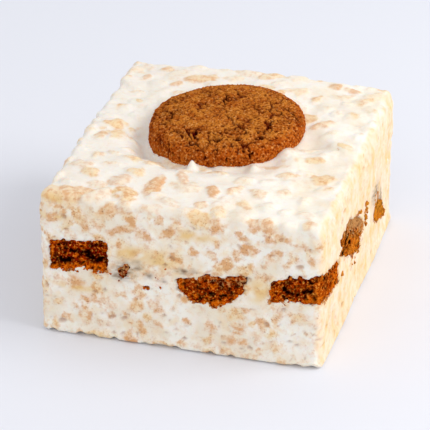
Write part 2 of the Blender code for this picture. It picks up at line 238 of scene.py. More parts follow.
class StageSettings(bpy.types.PropertyGroup):
    """The floor, the lights and the camera."""
    floor: colour("Floor", "Seamless pale paper", "E8E9EF")
    azimuth: FloatProperty(name="Azimuth", description="How far round to the right the camera stands",
                           subtype="ANGLE", default=math.radians(15.3))
    elevation: FloatProperty(name="Elevation", description="How high the camera stands",
                             subtype="ANGLE", default=math.radians(29.24))
    distance: length("Distance", "From the camera to what it looks at", 626.3)
    focal: FloatProperty(name="Focal length", description="In millimetres on a 36 mm sensor",
                         default=180.73)
    key: FloatProperty(name="Key light", description="Power of the large soft light", unit="POWER",
                       default=3.2)
    fill: FloatProperty(name="Fill light", description="Power of the light from the front",
                        unit="POWER", default=0.9)
    ambient: FloatProperty(name="Ambient", description="Strength of the light from all round",
                           default=0.81)


def smooth_step(low, high, value):
    """0 at a low value, 1 at a high one, and a soft slope between them."""
    t = np.clip((value - low) / (high - low), 0.0, 1.0)
    return t * t * (3.0 - 2.0 * t)


def noise_at(points, size, shift=0.0):
    """Smooth noise, mostly from -0.5 to 0.5, with lumps of a size in millimetres.

    The shift only picks the part of the noise that is read, so that two patterns of a size differ.
    """
    places = (points / size + shift).tolist()
    return np.array([noise.noise(place) for place in places])


def rough_at(points, size, octaves, shift=0.0):
    """Noise with finer and finer detail, mostly from -1 to 1."""
    places = (points / size + shift).tolist()
    return np.array([noise.fractal(place, 0.6, 2.0, octaves) for place in places])


def cracks_at(points, size, width, shift=0.0):
    """1 along the borders between cells of a size, falling to 0 over a share of it."""
    places = (points / size + shift).tolist()
    found = [noise.voronoi(place)[0] for place in places]
    gap = np.array([near[1] - near[0] for near in found])
    return np.clip(1.0 - gap / width, 0.0, 1.0)


def quads(index, flipped):
    """Faces between the neighbours in a sheet of vertex numbers."""
    faces = np.stack((index[:-1, :-1], index[1:, :-1], index[1:, 1:], index[:-1, 1:]), -1).reshape(-1, 4)
    return (faces[:, ::-1] if flipped else faces).tolist()


def box_shell(counts, coarse):
    """Grid places, 0 to 1, on a box's surface, and its faces. The underside has larger squares."""
    nx, ny, nz = counts
    i, j, k = np.meshgrid(*(np.arange(count + 1) for count in counts), indexing="ij")
    rim = (i == 0) | (i == nx) | (j == 0) | (j == ny)
    under = (k == 0) & ((i % coarse == 0) & (j % coarse == 0))
    shown = rim | (k == nz) | under
    index = np.full(shown.shape, -1)
    index[shown] = np.arange(shown.sum())
    places = np.stack((i[shown] / nx, j[shown] / ny, k[shown] / nz), -1)
    faces = quads(index[:, :, nz], False)
    faces += quads(index[:, 0, :], False) + quads(index[:, ny, :], True)
    faces += quads(index[nx, :, :], False) + quads(index[0, :, :], True)
    for i0 in range(0, nx, coarse):
        for j0 in range(0, ny, coarse):
            i1 = min(i0 + coarse, nx)
            j1 = min(j0 + coarse, ny)
            loop = [(i0, j) for j in (range(j0, j1) if i0 == 0 else (j0,))]
            loop += [(i, j1) for i in (range(i0, i1) if j1 == ny else (i0,))]
            loop += [(i1, j) for j in (range(j1, j0, -1) if i1 == nx else (j1,))]
            loop += [(i, j0) for i in (range(i1, i0, -1) if j0 == 0 else (i1,))]
            faces.append([int(index[i, j, 0]) for i, j in loop])
    return places, faces


def add_marks(mesh, marks):
    """Give a mesh a number for each point under each mark's name."""
    for mark, values in marks.items():
        layer = mesh.attributes.new(mark, "FLOAT", "POINT")
        layer.data.foreach_set("value", np.asarray(values, dtype=np.float32))


def vectors_of(mesh, kind):
    """The places or the normals of a mesh's points."""
    values = np.empty(len(mesh.vertices) * 3)
    mesh.vertices.foreach_get(kind, values)
    return values.reshape(-1, 3)


def use_modifiers(item):
    """Turn an object with modifiers into a plain mesh."""
    depsgraph = bpy.context.evaluated_depsgraph_get()
    mesh = bpy.data.meshes.new_from_object(item.evaluated_get(depsgraph))
    item.modifiers.clear()
    before = item.data
    item.data = mesh
    mesh.name = item.name
    bpy.data.meshes.remove(before)


def add_mesh(name, points, faces, marks):
    """A smooth-shaded mesh object in metres, with its marks."""
    mesh = bpy.data.meshes.new(name)
    mesh.from_pydata((np.asarray(points) * MM).tolist(), [], faces)
    add_marks(mesh, marks)
    mesh.shade_smooth()
    mesh.update()
    item = bpy.data.objects.new(name, mesh)
    bpy.context.scene.collection.objects.link(item)
    return item


def finish_piece(item, material, slot, *nodes):
    """Give a piece its material, say what it moves with, and hide the solids that it replaces."""
    item.data.materials.clear()
    item.data.materials.append(material)
    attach(item, "root")
    if nodes:
        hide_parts(*nodes)


def point_normals(points, faces):
    """The mesh normal at each point."""
    mesh = bpy.data.meshes.new("measure")
    mesh.from_pydata(points.tolist(), [], faces)
    mesh.update()
    normals = vectors_of(mesh, "normal")
    bpy.data.meshes.remove(mesh)
    return normals


def add_node(tree, kind, inputs=None, **settings):
    """Add a node, set its properties, and set or link its inputs by name or number."""
    node = tree.nodes.new(kind)
    for name, value in settings.items():
        setattr(node, name, value)
    for name, value in (inputs or {}).items():
        if isinstance(value, bpy.types.NodeSocket):
            tree.links.new(value, node.inputs[name])
        else:
            node.inputs[name].default_value = value
    return node


def new_material(name, *marks):
    """A new material, its tree, a shader wired to its output, and the piece's marks that it reads."""
    material = bpy.data.materials.new(name)
    material.use_nodes = True
    tree = material.node_tree
    tree.nodes.clear()
    shader = add_node(tree, "ShaderNodeBsdfPrincipled")
    add_node(tree, "ShaderNodeOutputMaterial", {"Surface": shader.outputs["BSDF"]})
    read = {mark: add_node(tree, "ShaderNodeAttribute", attribute_name=mark).outputs["Fac"]
            for mark in marks}
    return material, tree, shader, read


def pattern(tree, size, stretch=(1.0, 1.0, 1.0), detail=3.0):
    """Noise from 0 to 1 with blotches of a size in millimetres, drawn out along an axis by a stretch."""
    place = add_node(tree, "ShaderNodeTexCoord").outputs["Object"]
    scale = tuple(1.0 / (size * MM * part) for part in stretch)
    mapped = add_node(tree, "ShaderNodeMapping", {"Vector": place, "Scale": scale}).outputs["Vector"]
    return add_node(tree, "ShaderNodeTexNoise",
                    {"Vector": mapped, "Scale": 1.0, "Detail": detail}).outputs["Fac"]


def levels(tree, operation, *parts):
    """Numbers and sockets joined by an operation.

    A part may also be a socket with four numbers: the two levels between which it changes, and what it
    turns into at the first and at the second. A single part is only changed in that way.
    """
    joined = None
    for part in parts:
        if isinstance(part, tuple):
            value, low, high, start, end = part
            ends = {"From Min": low, "From Max": high, "To Min": start, "To Max": end}
            part = add_node(tree, "ShaderNodeMapRange", {"Value": value, **ends},
                            interpolation_type="SMOOTHSTEP").outputs["Result"]
        if joined is not None:
            part = add_node(tree, "ShaderNodeMath", {0: joined, 1: part}, operation=operation).outputs[0]
        joined = part
    return joined


def coats(tree, under, *layers):
    """A colour with others laid over it in turn, each with the parts that say how much of it shows."""
    for over, *parts in layers:
        cover = levels(tree, "MULTIPLY", *parts)
        under = add_node(tree, "ShaderNodeMix", {0: cover, 6: under, 7: over}, data_type="RGBA").outputs[2]
    return under


def dress(tree, shader, colours, height, strength, depth, plain):
    """Give a shader its colours, a fine relief with its depth in millimetres, and its plain values."""
    tree.links.new(colours, shader.inputs["Base Color"])
    bump = add_node(tree, "ShaderNodeBump",
                    {"Height": height, "Strength": strength, "Distance": depth * MM})
    tree.links.new(bump.outputs["Normal"], shader.inputs["Normal"])
    for name, value in plain.items():
        shader.inputs[name].default_value = value


def marshmallow_material(look):
    """Set marshmallow with puffed rice in it.

    A whipped sugar foam lets light in a little way, so its edges glow. Its poured top dried to a satin
    skin, and its cut sides are duller. Rice shows as tan patches with soft edges, under a thin film. The
    knife drew level streaks over the right side, and left cookie dust and bits of crust.
    """
    material, tree, shader, mark = new_material(
        "set_marshmallow_poured_and_cut",
        "poured", "painted_left_shade", "straw", "tone", "grain", "drag", "smudge", "fringe", "pore_and_pit_shade", "stain")
    poured = mark["poured"]
    cloud = pattern(tree, 3.4, detail=2.0)
    blotch = pattern(tree, 1.5)
    fine = pattern(tree, 0.5, detail=2.0)
    foam = coats(tree, look.marshmallow,
                 (look.shade, (pattern(tree, 8.0), 0.35, 0.68, 0.0, 1.0)),
                 # painted shade toward the left of the poured top
                 (look.painted_left_shade, mark["painted_left_shade"]),
                 (look.grain_pale, (cloud, 0.48, 0.75, 0.0, 0.4), (poured, 0.0, 1.0, 1.0, 0.3)),
                 (look.straw, mark["straw"]))
    toast = levels(tree, "ADD", mark["tone"], (blotch, 0.3, 0.7, -0.45, 0.45))
    rice = coats(tree, look.grain_pale,
                 (look.grain_toasted, (toast, 0.0, 1.0, 0.0, 1.0)),
                 (look.pore_and_pit_shade, (fine, 0.60, 0.70, 0.0, 1.0), (poured, 0.0, 1.0, 0.9, 0.4)))
    broken = levels(tree, "ADD", (blotch, 0.3, 0.7, -0.26, 0.2), (fine, 0.3, 0.7, -0.1, 0.1))
    broken = levels(tree, "MULTIPLY", broken, (poured, 0.0, 1.0, 1.0, 0.5))
    patchy = levels(tree, "ADD", mark["grain"], broken)
    lines = pattern(tree, 1.2, (1.0, 1.0, 2.2))
    streaks = levels(tree, "ADD", pattern(tree, 3.6, (1.0, 1.0, 1.5)), (lines, 0.25, 0.75, -0.02, 0.02))
    flecks = pattern(tree, 1.2, (1.0, 1.0, 1.5))
    dragged = coats(tree, look.smear,
                    (look.smear_dark, (streaks, 0.38, 0.68, 0.0, 1.0)),
                    (look.fleck, (flecks, 0.62, 0.76, 0.0, 0.6)))
    grit = pattern(tree, 0.8, detail=4.0)
    crust = coats(tree, look.fringe,
                  (look.fringe_dark, (grit, 0.50, 0.36, 0.0, 1.0)),
                  (look.fringe_light, (grit, 0.56, 0.68, 0.0, 0.8)))
    dust = levels(tree, "ADD", mark["fringe"], (fine, 0.3, 0.7, -0.25, 0.25))
    surface = coats(tree, foam,
                    (rice, (patchy, -0.1, 1.05, 0.0, 0.95)),
                    (dragged, mark["drag"], (cloud, 0.35, 0.65, 0.6, 1.0)),
                    (look.smudge, mark["smudge"]),
                    (crust, (dust, 0.2, 0.6, 0.0, 0.95)),
                    # painted shade in the air pits
                    (look.pore_and_pit_shade, mark["pore_and_pit_shade"]),
                    (look.fringe, mark["stain"]))
    dress(tree, shader, surface, levels(tree, "ADD", fine, blotch), 0.25, 0.12,
          {"IOR": 1.45, "Specular IOR Level": 0.4, "Subsurface Weight": 0.35,
           "Subsurface Radius": (1.0, 0.75, 0.5), "Subsurface Scale": 1.6 * MM})
    tree.links.new(levels(tree, "ADD", (poured, 0.0, 1.0, 0.58, 0.34)), shader.inputs["Roughness"])
    return material


def puffed_rice_material(look):
    """Puffed rice: dry, matte and full of tiny bubbles, tan where it toasted, and filmed over in places."""
    material, tree, shader, mark = new_material("puffed_rice_toasted", "tone")
    fine = pattern(tree, 0.4, detail=2.0)
    toast = levels(tree, "ADD", mark["tone"], (pattern(tree, 1.5), 0.3, 0.7, -0.35, 0.35))
    rice = coats(tree, look.grain_pale,
                 (look.grain_toasted, (toast, 0.0, 1.0, 0.0, 1.0)),
                 (look.pore_and_pit_shade, (fine, 0.60, 0.72, 0.0, 0.7)),
                 (look.marshmallow, (pattern(tree, 1.9), 0.40, 0.66, 0.15, 0.55)))
    dress(tree, shader, rice, fine, 0.4, 0.12,
          {"Roughness": 0.5, "Specular IOR Level": 0.35, "Subsurface Weight": 0.3,
           "Subsurface Radius": (1.0, 0.7, 0.45), "Subsurface Scale": 1.2 * MM})
    return material


def crust_material(look):
    """Baked ginger cookie: dry, sandy brown crust; painted light on raised parts, painted shade in cracks.
    """
    material, tree, shader, mark = new_material("ginger_cookie_baked_crust", "rim", "high", "low")
    grit = pattern(tree, 0.6, detail=4.0)
    # The dark coats are painted shade in the cracks, pits and grit hollows; the tip and raised-plate coats
    # are partly painted light
    crust = coats(tree, look.crust,
                  (look.pale_crust_and_lit_plates, (pattern(tree, 3.2), 0.35, 0.65, 0.0, 1.0)),
                  (look.rim, mark["rim"]),
                  (look.crust_crack_shade, (grit, 0.46, 0.35, 0.0, 0.8)),
                  (look.sugar_tip_and_highlight, (grit, 0.55, 0.68, 0.0, 0.8)),
                  (look.pale_crust_and_lit_plates, mark["high"]),
                  (look.crust_crack_shade, mark["low"]))
    dress(tree, shader, crust, grit, 0.7, 0.3, {"Roughness": 0.7, "Specular IOR Level": 0.02})
    return material


def crumb_material(look):
    """Cut ginger cookie: a moist, open crumb, orange next to the crust; painted shade makes its holes
    almost black.
    """
    material, tree, shader, mark = new_material("ginger_cookie_cut_crumb",
                                                "warm", "gold", "edge", "low", "veil")
    warm = mark["warm"]
    gold = mark["gold"]
    grit = pattern(tree, 0.6, detail=4.0)
    patch = pattern(tree, 2.0, detail=4.0)
    dry = levels(tree, "MULTIPLY", warm, 0.35)
    moist = levels(tree, "SUBTRACT", (patch, 0.44, 0.62, 0.0, 1.1), dry)
    rind = coats(tree, look.inside_edge, (look.inside_gold, gold))
    near_crust = coats(tree, coats(tree, look.inside, (rind, gold)),
                       (rind, (grit, 0.36, 0.50, 0.0, 1.0)),
                       (look.inside_light, (grit, 0.60, 0.70, 0.0, 0.6)))
    film = levels(tree, "ADD", mark["veil"], (grit, 0.35, 0.65, -0.35, 0.35))
    body = coats(tree, look.inside,
                 (look.inside_warm, warm),
                 (look.inside_gold, gold),
                 (look.inside_light, (grit, 0.55, 0.64, 0.0, 1.0)),
                 (look.moist_crumb_and_hole_shade, (moist, 0.0, 1.0, 0.0, 0.65)),
                 # painted shade in the grit's hollows and in the marked holes
                 (look.moist_crumb_and_hole_shade, (grit, 0.47, 0.36, 0.0, 0.9), (gold, 0.0, 1.0, 1.0, 0.35)),
                 (near_crust, mark["edge"]),
                 (look.moist_crumb_and_hole_shade, mark["low"]),
                 (look.veil, (film, 0.3, 1.0, 0.0, 0.9)))
    dress(tree, shader, body, grit, 0.6, 0.3, {"Roughness": 0.65, "Specular IOR Level": 0.0})
    return material


def paper_material(look):
    """Seamless studio paper: matte and even, so it shows no glare, only the block's soft shadow."""
    material, tree, shader, _ = new_material("matte_paper_sweep")
    shader.inputs["Base Color"].default_value = look.floor
    shader.inputs["Specular IOR Level"].default_value = 0.15
    fibres = levels(tree, "ADD", (pattern(tree, 3.0), 0.0, 1.0, 0.88, 0.92))
    tree.links.new(fibres, shader.inputs["Roughness"])
    return material


def right_side(y):
    """Where the right side stands at a given depth."""
    out = RIGHT_AT_FRONT + (RIGHT_AT_MIDDLE - RIGHT_AT_FRONT) * smooth_step(-0.5 * DEPTH, -15.0, y)
    return out + (RIGHT_AT_BACK - RIGHT_AT_MIDDLE) * smooth_step(-10.0, 18.0, y)


def rounded_box(places):
    """Points and outward normals of the plain block, its edges rounded, from places on a box."""
    size = np.array((WIDTH, DEPTH, HEIGHT))
    points = places * size - (0.5 * WIDTH, 0.5 * DEPTH, 0.0)
    reach = 0.5 * size[:2] - SIDE_ROUND
    inner = np.column_stack((np.clip(points[:, 0], -reach[0], reach[0]),
                             np.clip(points[:, 1], -reach[1], reach[1]),
                             np.clip(points[:, 2], BASE_ROUND, HEIGHT - TOP_ROUND)))
    up = np.where(points[:, 2] > inner[:, 2], TOP_ROUND, BASE_ROUND)
    radii = np.column_stack((np.full(len(points), SIDE_ROUND), np.full(len(points), SIDE_ROUND), up))
    away = (points - inner) / radii
    away /= np.maximum(np.linalg.norm(away, axis=1), 1.0)[:, None]
    normals = away / radii
    normals /= np.linalg.norm(normals, axis=1)[:, None]
    return inner + away * radii, normals


def cookie_ring(points):
    """Distance from the top cookie's axis, and how far round to the front a point lies, 0 to 1."""
    away = points[:, :2] - np.array(COOKIE_MIDDLE.xy)
    distance = np.linalg.norm(away, axis=1)
    return distance, 0.5 - 0.5 * away[:, 1] / np.maximum(distance, 1.0)


# Where the marshmallow laps over the cookie's front rim, as x and y on the rim, width and height
LAPS = (
    (-5.0, -16.4, 2.8, 3.0), (12.2, -13.4, 3.6, 1.7), (3.6, -17.4, 4.0, 0.4),
    (20.4, -4.6, 8.0, 2.4),
)

# Where the top dips beside the cookie, as x, y, reach and depth
DIPS = (
    (26.5, 4.0, 5.0, 1.2), (-21.5, -6.0, 3.6, 1.3), (30.5, -12.0, 6.0, 0.6), (-30.0, 22.0, 7.0, 0.7),
    (-25.0, 0.0, 5.4, 2.6), (-20.0, -9.5, 5.4, 2.8), (-12.4, -15.0, 4.4, 2.0),
)

# Spots on a side are given as the side's way out, the place along it and up it, and the reach along and up
FRONT = (0.0, -1.0, 0.0)
RIGHT = (1.0, 0.0, 0.0)

# Where straw-coloured marshmallow shows
STRAW = (
    (FRONT, -14.0, 28.6, 7.5, 2.6), (FRONT, -36.5, 42.2, 6.0, 1.4), (FRONT, 22.0, 22.5, 3.2, 4.0),
    (FRONT, -6.0, 27.5, 5.5, 4.0), (FRONT, -30.0, 15.5, 7.0, 1.2), (FRONT, -36.0, 37.0, 4.0, 1.0),
    (FRONT, 3.0, 36.5, 9.0, 1.6),
)

# Where cookie dust greys the marshmallow near a cut piece
SMUDGES = (
    (FRONT, -16.4, 22.6, 3.0, 2.6), (FRONT, -17.6, 21.0, 2.0, 0.9), (FRONT, -12.6, 25.0, 1.7, 1.4),
    (FRONT, -9.6, 22.4, 1.2, 1.0), (FRONT, -19.0, 20.6, 1.2, 0.8), (FRONT, -5.2, 21.5, 0.8, 0.7),
    (FRONT, 0.5, 25.4, 1.8, 0.8), (FRONT, 3.4, 25.8, 1.4, 0.6), (FRONT, 16.8, 25.2, 1.5, 1.0),
    (RIGHT, 18.6, 22.4, 4.6, 3.0), (RIGHT, 24.0, 18.6, 3.0, 2.4),
)

# Where marshmallow laps over the edge of a cut piece
BITES = (
    (FRONT, -28.6, 20.6, 2.0, 1.9), (FRONT, -20.5, 26.5, 0.7, 4.0), (FRONT, -23.5, 20.2, 2.8, 0.9),
    (FRONT, -34.6, 20.0, 2.0, 1.0), (FRONT, 7.4, 15.2, 0.9, 1.0), (FRONT, 18.6, 18.0, 2.4, 1.8),
    (FRONT, 32.6, 19.6, 2.2, 1.3), (FRONT, 24.8, 27.6, 2.2, 1.6), (FRONT, -15.0, 22.2, 0.9, 1.2),
    (RIGHT, 4.6, 15.0, 4.6, 4.0), (RIGHT, -21.0, 14.0, 5.0, 2.6), (RIGHT, 1.4, 17.0, 3.2, 2.4),
    (RIGHT, 17.0, 22.0, 5.0, 4.0), (RIGHT, 24.0, 19.6, 3.2, 2.6),
)

# Where the knife left the edge of a cut piece clear
CLEAR = (
    (FRONT, -37.8, 25.0, 0.9, 5.0), (FRONT, 0.0, 25.0, 3.4, 2.2), (FRONT, 5.0, 26.6, 5.0, 1.6),
    (FRONT, 17.8, 24.5, 1.6, 4.0), (FRONT, 13.0, 17.6, 3.4, 1.8), (FRONT, 2.0, 18.2, 2.6, 1.6),
    (RIGHT, -25.6, 25.0, 3.0, 4.0), (RIGHT, -10.0, 15.0, 5.0, 2.6), (RIGHT, -1.5, 26.0, 3.6, 2.4),
    (RIGHT, -12.0, 30.4, 4.0, 1.6), (RIGHT, 19.6, 12.0, 1.8, 2.6), (RIGHT, -36.0, 20.6, 3.4, 2.2),
    (RIGHT, -20.4, 22.0, 5.0, 1.8), (RIGHT, -5.0, 28.0, 4.0, 1.6), (RIGHT, -31.0, 19.4, 3.0, 2.0),
    (FRONT, -17.6, 23.6, 1.2, 1.6),
)

# Where bits of crust are pressed in a side
REMNANTS = (
    (FRONT, -32.4, 20.8, 2.0, 0.8), (FRONT, -23.6, 21.9, 2.4, 0.7), (FRONT, -10.2, 18.4, 1.1, 0.5),
    (RIGHT, 7.4, 24.6, 1.5, 0.8), (RIGHT, 7.0, 22.7, 1.8, 0.9), (RIGHT, 6.4, 21.0, 1.5, 0.9),
    (RIGHT, 5.7, 19.1, 1.2, 1.1), (RIGHT, 1.6, 25.2, 0.8, 0.5), (RIGHT, -22.9, 18.5, 0.7, 0.7),
    (RIGHT, 32.0, 8.6, 2.6, 1.6), (RIGHT, -1.4, 26.4, 1.6, 1.0), (RIGHT, -2.4, 25.6, 2.6, 1.8),
)

# Where a cut piece's crumb is moist and almost black
HOLLOWS = (
    (FRONT, -35.2, 28.7, 0.9, 1.0), (FRONT, -33.3, 27.9, 0.9, 0.8), (FRONT, -30.4, 26.8, 1.5, 0.9),
    (FRONT, -26.9, 26.8, 1.6, 1.1), (FRONT, -25.2, 25.4, 1.5, 1.0), (FRONT, -23.4, 25.7, 0.9, 0.9),
    (FRONT, -34.0, 23.9, 1.3, 0.8), (FRONT, -32.2, 24.3, 0.9, 0.7), (FRONT, 28.8, 24.5, 1.0, 1.0),
    (FRONT, 30.2, 23.4, 1.3, 0.8), (FRONT, 36.2, 27.5, 0.9, 0.6), (FRONT, 34.9, 24.3, 1.7, 0.8),
    (FRONT, 37.7, 24.8, 1.0, 0.6), (RIGHT, -43.0, 27.9, 1.6, 0.7), (RIGHT, -37.5, 26.5, 2.0, 0.8),
    (FRONT, 6.3, 23.8, 0.8, 0.6), (FRONT, 9.1, 19.7, 1.4, 0.6), (FRONT, 11.4, 19.6, 1.4, 0.6),
    (FRONT, 5.9, 20.9, 1.1, 0.4), (RIGHT, -18.8, 26.3, 2.6, 1.2), (RIGHT, -14.0, 23.8, 2.4, 0.8),
    (RIGHT, -23.2, 25.0, 2.0, 1.4), (RIGHT, 21.0, 14.4, 1.4, 0.5),
)

# Where a cut piece is golden or orange, at its crust
GLOWS = (
    (FRONT, -37.2, 26.5, 0.9, 2.4), (FRONT, -35.4, 22.0, 1.3, 0.8), (FRONT, -32.0, 22.0, 2.6, 0.8),
    (FRONT, -25.5, 23.2, 4.0, 0.9), (FRONT, 25.0, 22.4, 1.7, 2.4), (FRONT, 27.4, 26.7, 0.9, 0.8),
    (FRONT, 37.6, 22.2, 2.2, 1.0), (RIGHT, -31.2, 20.4, 4.0, 3.4), (RIGHT, -37.0, 19.4, 3.6, 1.4),
    (FRONT, -0.3, 20.9, 1.5, 1.7), (FRONT, 5.5, 18.2, 3.4, 0.8), (FRONT, 10.8, 17.0, 3.0, 1.3),
    (FRONT, 15.2, 19.7, 1.4, 0.8), (RIGHT, -7.2, 18.8, 4.0, 3.6), (RIGHT, -18.5, 21.6, 4.4, 1.3),
    (RIGHT, 1.9, 22.5, 1.8, 3.0), (RIGHT, -26.6, 29.6, 1.2, 1.6), (RIGHT, 22.5, 15.0, 4.4, 3.0),
    (RIGHT, 27.0, 12.0, 3.6, 2.4), (RIGHT, 17.2, 14.3, 2.4, 2.4),
)


def top_level(points):
    """How far the poured top stands above its plain level, round the sunk cookie."""
    distance, facing = cookie_ring(points)
    share = 2.0 * points[:, 0] / WIDTH
    rise = CROWN * smooth_step(CROWN_STARTS, 0.5 * DEPTH, points[:, 1]) * (1.0 - 0.6 * share * share)
    rise += np.exp(-((distance - RING_RADIUS) / RING_WIDTH) ** 2) * (0.4 - 2.1 * facing)
    for x, y, reach, depth in DIPS:
        off = np.hypot(points[:, 0] - x, points[:, 1] - y) / reach
        rise -= depth * np.exp(-off * off)
    for x, y, width, height in LAPS:
        off = np.hypot(points[:, 0] - x, points[:, 1] - y) / (0.5 * width)
        rise += height * np.exp(-off * off)
    return rise


def crater(points):
    """How far the top sinks under the cookie, inside the line where it meets the cookie's side."""
    distance, _ = cookie_ring(points)
    uneven = 0.35 * noise_at(points, 3.0, 5.0)
    return BED_DEPTH * smooth_step(COOKIE_RADIUS - 0.5, COOKIE_RADIUS - 2.1, distance + uneven)


# The grains that show most, on top as x and y and in the front as x and height, with half the length and
# the width, the turn in degrees, how clearly the grain shows and how toasted it is
TOP_GRAINS = (
    (-35.0, -6.0, 3.8, 1.7, 65, 0.8, 0.5), (-32.5, -18.5, 3.0, 2.0, 80, 0.7, 0.5),
    (-41.0, -9.5, 3.0, 1.4, 85, 0.7, 0.2), (-28.5, -15.5, 2.6, 1.3, -20, 0.5, 0.5),
    (-25.0, -11.0, 2.8, 1.5, 48, 0.6, 0.4), (-26.0, -3.5, 3.5, 1.3, -23, 0.6, 0.5),
    (-26.5, -23.0, 3.0, 1.4, -12, 0.5, 0.3), (-21.5, -31.5, 3.8, 3.4, 56, 0.6, 0.6),
    (-15.0, -18.5, 4.6, 1.7, 23, 0.8, 0.3), (-11.5, -31.5, 6.5, 2.4, 79, 0.9, 0.7),
    (-5.0, -25.0, 5.5, 1.6, -71, 0.65, 0.7), (5.0, -31.0, 4.2, 2.3, -71, 0.9, 0.9),
    (10.5, -29.0, 3.8, 2.0, 58, 0.7, 0.6), (24.0, -26.0, 2.4, 1.9, 32, 0.6, 0.7),
    (3.5, -19.5, 4.2, 1.7, 0, 0.75, 0.6), (23.0, -16.0, 4.0, 2.1, 24, 0.65, 0.4),
    (17.0, -11.5, 3.2, 1.5, -8, 0.7, 0.5), (28.0, -5.5, 4.0, 1.8, 15, 0.8, 0.3),
    (25.5, 15.5, 5.4, 1.7, 29, 0.7, 0.7), (-17.0, 35.0, 5.4, 3.2, 13, 0.85, 0.4),
    (-23.0, 30.5, 2.5, 1.7, 49, 0.7, 0.6), (-28.5, 39.0, 2.6, 2.1, 30, 0.8, 0.6),
    (-33.0, 33.0, 2.6, 1.4, 50, 0.6, 0.6), (-33.0, 23.0, 3.0, 1.4, 12, 0.6, 0.6),
    (30.0, 38.5, 3.2, 1.4, -8, 0.7, 0.7), (24.0, 40.0, 2.4, 1.4, 0, 0.8, 0.7),
    (25.0, 1.5, 3.4, 1.4, 15, 0.5, 0.4),
)
FRONT_GRAINS = (
    (-35.0, 39.0, 2.5, 1.6, 23, 0.65, 0.6), (-37.0, 36.5, 1.8, 1.4, 30, 0.7, 0.8),
    (-32.5, 41.5, 2.9, 1.4, 8, 0.5, 0.0), (-21.0, 40.5, 3.2, 1.8, 30, 0.85, 0.7),
    (-17.0, 41.0, 2.3, 1.0, -7, 0.7, 0.6), (-14.5, 39.0, 2.6, 1.6, -65, 0.8, 0.6),
    (-28.0, 36.0, 2.2, 1.5, -77, 0.7, 0.6), (-11.0, 35.0, 2.4, 1.5, -22, 0.75, 0.8),
    (-6.0, 40.0, 1.6, 1.5, 0, 0.75, 0.7), (-4.0, 36.5, 2.6, 1.3, 29, 0.75, 0.9),
    (4.5, 42.0, 3.3, 3.0, 8, 0.85, 0.1), (9.5, 40.5, 2.6, 2.2, -7, 0.7, 0.7),
    (20.0, 42.5, 2.0, 1.8, -51, 0.7, 0.8), (24.0, 42.5, 3.2, 2.2, -59, 0.75, 0.6),
    (24.5, 39.0, 1.6, 1.3, 21, 0.85, 0.9), (16.5, 38.5, 2.4, 1.0, -22, 0.7, 0.7),
    (10.0, 35.0, 1.0, 1.0, 0, 0.9, 1.0), (19.0, 34.5, 2.6, 1.7, 16, 0.9, 0.9),
    (15.5, 32.5, 1.9, 1.0, -72, 0.75, 0.8), (26.5, 34.5, 2.2, 1.4, 26, 0.8, 0.8),
    (8.5, 31.0, 1.7, 1.3, -36, 0.8, 0.8), (-2.0, 29.0, 2.6, 2.2, 38, 0.8, 0.5),
    (3.5, 31.5, 1.4, 1.3, -22, 0.75, 0.6), (-18.0, 31.0, 2.0, 1.5, 19, 0.75, 0.4),
    (-27.5, 12.0, 2.1, 1.2, -9, 0.8, 0.8), (-31.0, 10.0, 1.5, 1.0, -54, 0.8, 1.0),
    (-33.5, 5.5, 2.1, 1.3, -9, 0.6, 0.7), (-17.5, 15.0, 2.0, 1.1, -9, 0.75, 0.7),
    (-21.0, 7.5, 1.8, 1.3, -61, 0.65, 0.7), (-16.5, 8.5, 1.7, 1.1, -81, 0.7, 0.8),
    (-7.0, 7.5, 1.7, 1.5, -70, 0.75, 0.7), (1.5, 9.5, 1.7, 1.3, -27, 0.8, 0.7),
    (11.5, 15.0, 2.2, 1.6, -26, 0.6, 0.6), (18.0, 16.0, 1.8, 1.0, -12, 0.85, 0.9),
    (16.5, 10.5, 2.3, 1.4, -15, 0.8, 0.8), (16.5, 8.0, 1.5, 0.8, -16, 0.85, 1.0),
    (23.5, 12.0, 3.0, 1.6, -48, 0.65, 0.5), (18.0, 5.5, 1.9, 1.1, -37, 0.65, 0.8),
    (22.0, 3.0, 1.7, 1.5, -44, 0.75, 0.7),
)


class Spots:
    """Spots in a plane, kept in squares so that near ones are found quickly."""
    cell = 5.0

    def __init__(self):
        self.squares = {}

    def key(self, spot):
        """The square that a spot is in."""
        return math.floor(spot[0] / self.cell), math.floor(spot[1] / self.cell)

    def add(self, spot):
        """Keep a spot."""
        self.squares.setdefault(self.key(spot), []).append(spot)

    def nearer(self, spot, limit):
        """Whether a kept spot in this square or the ones round it is nearer than a limit."""
        i, j = self.key(spot)
        around = (other for di in (-1, 0, 1) for dj in (-1, 0, 1)
                  for other in self.squares.get((i + di, j + dj), ()))
        return any(math.dist(spot, other) < limit for other in around)


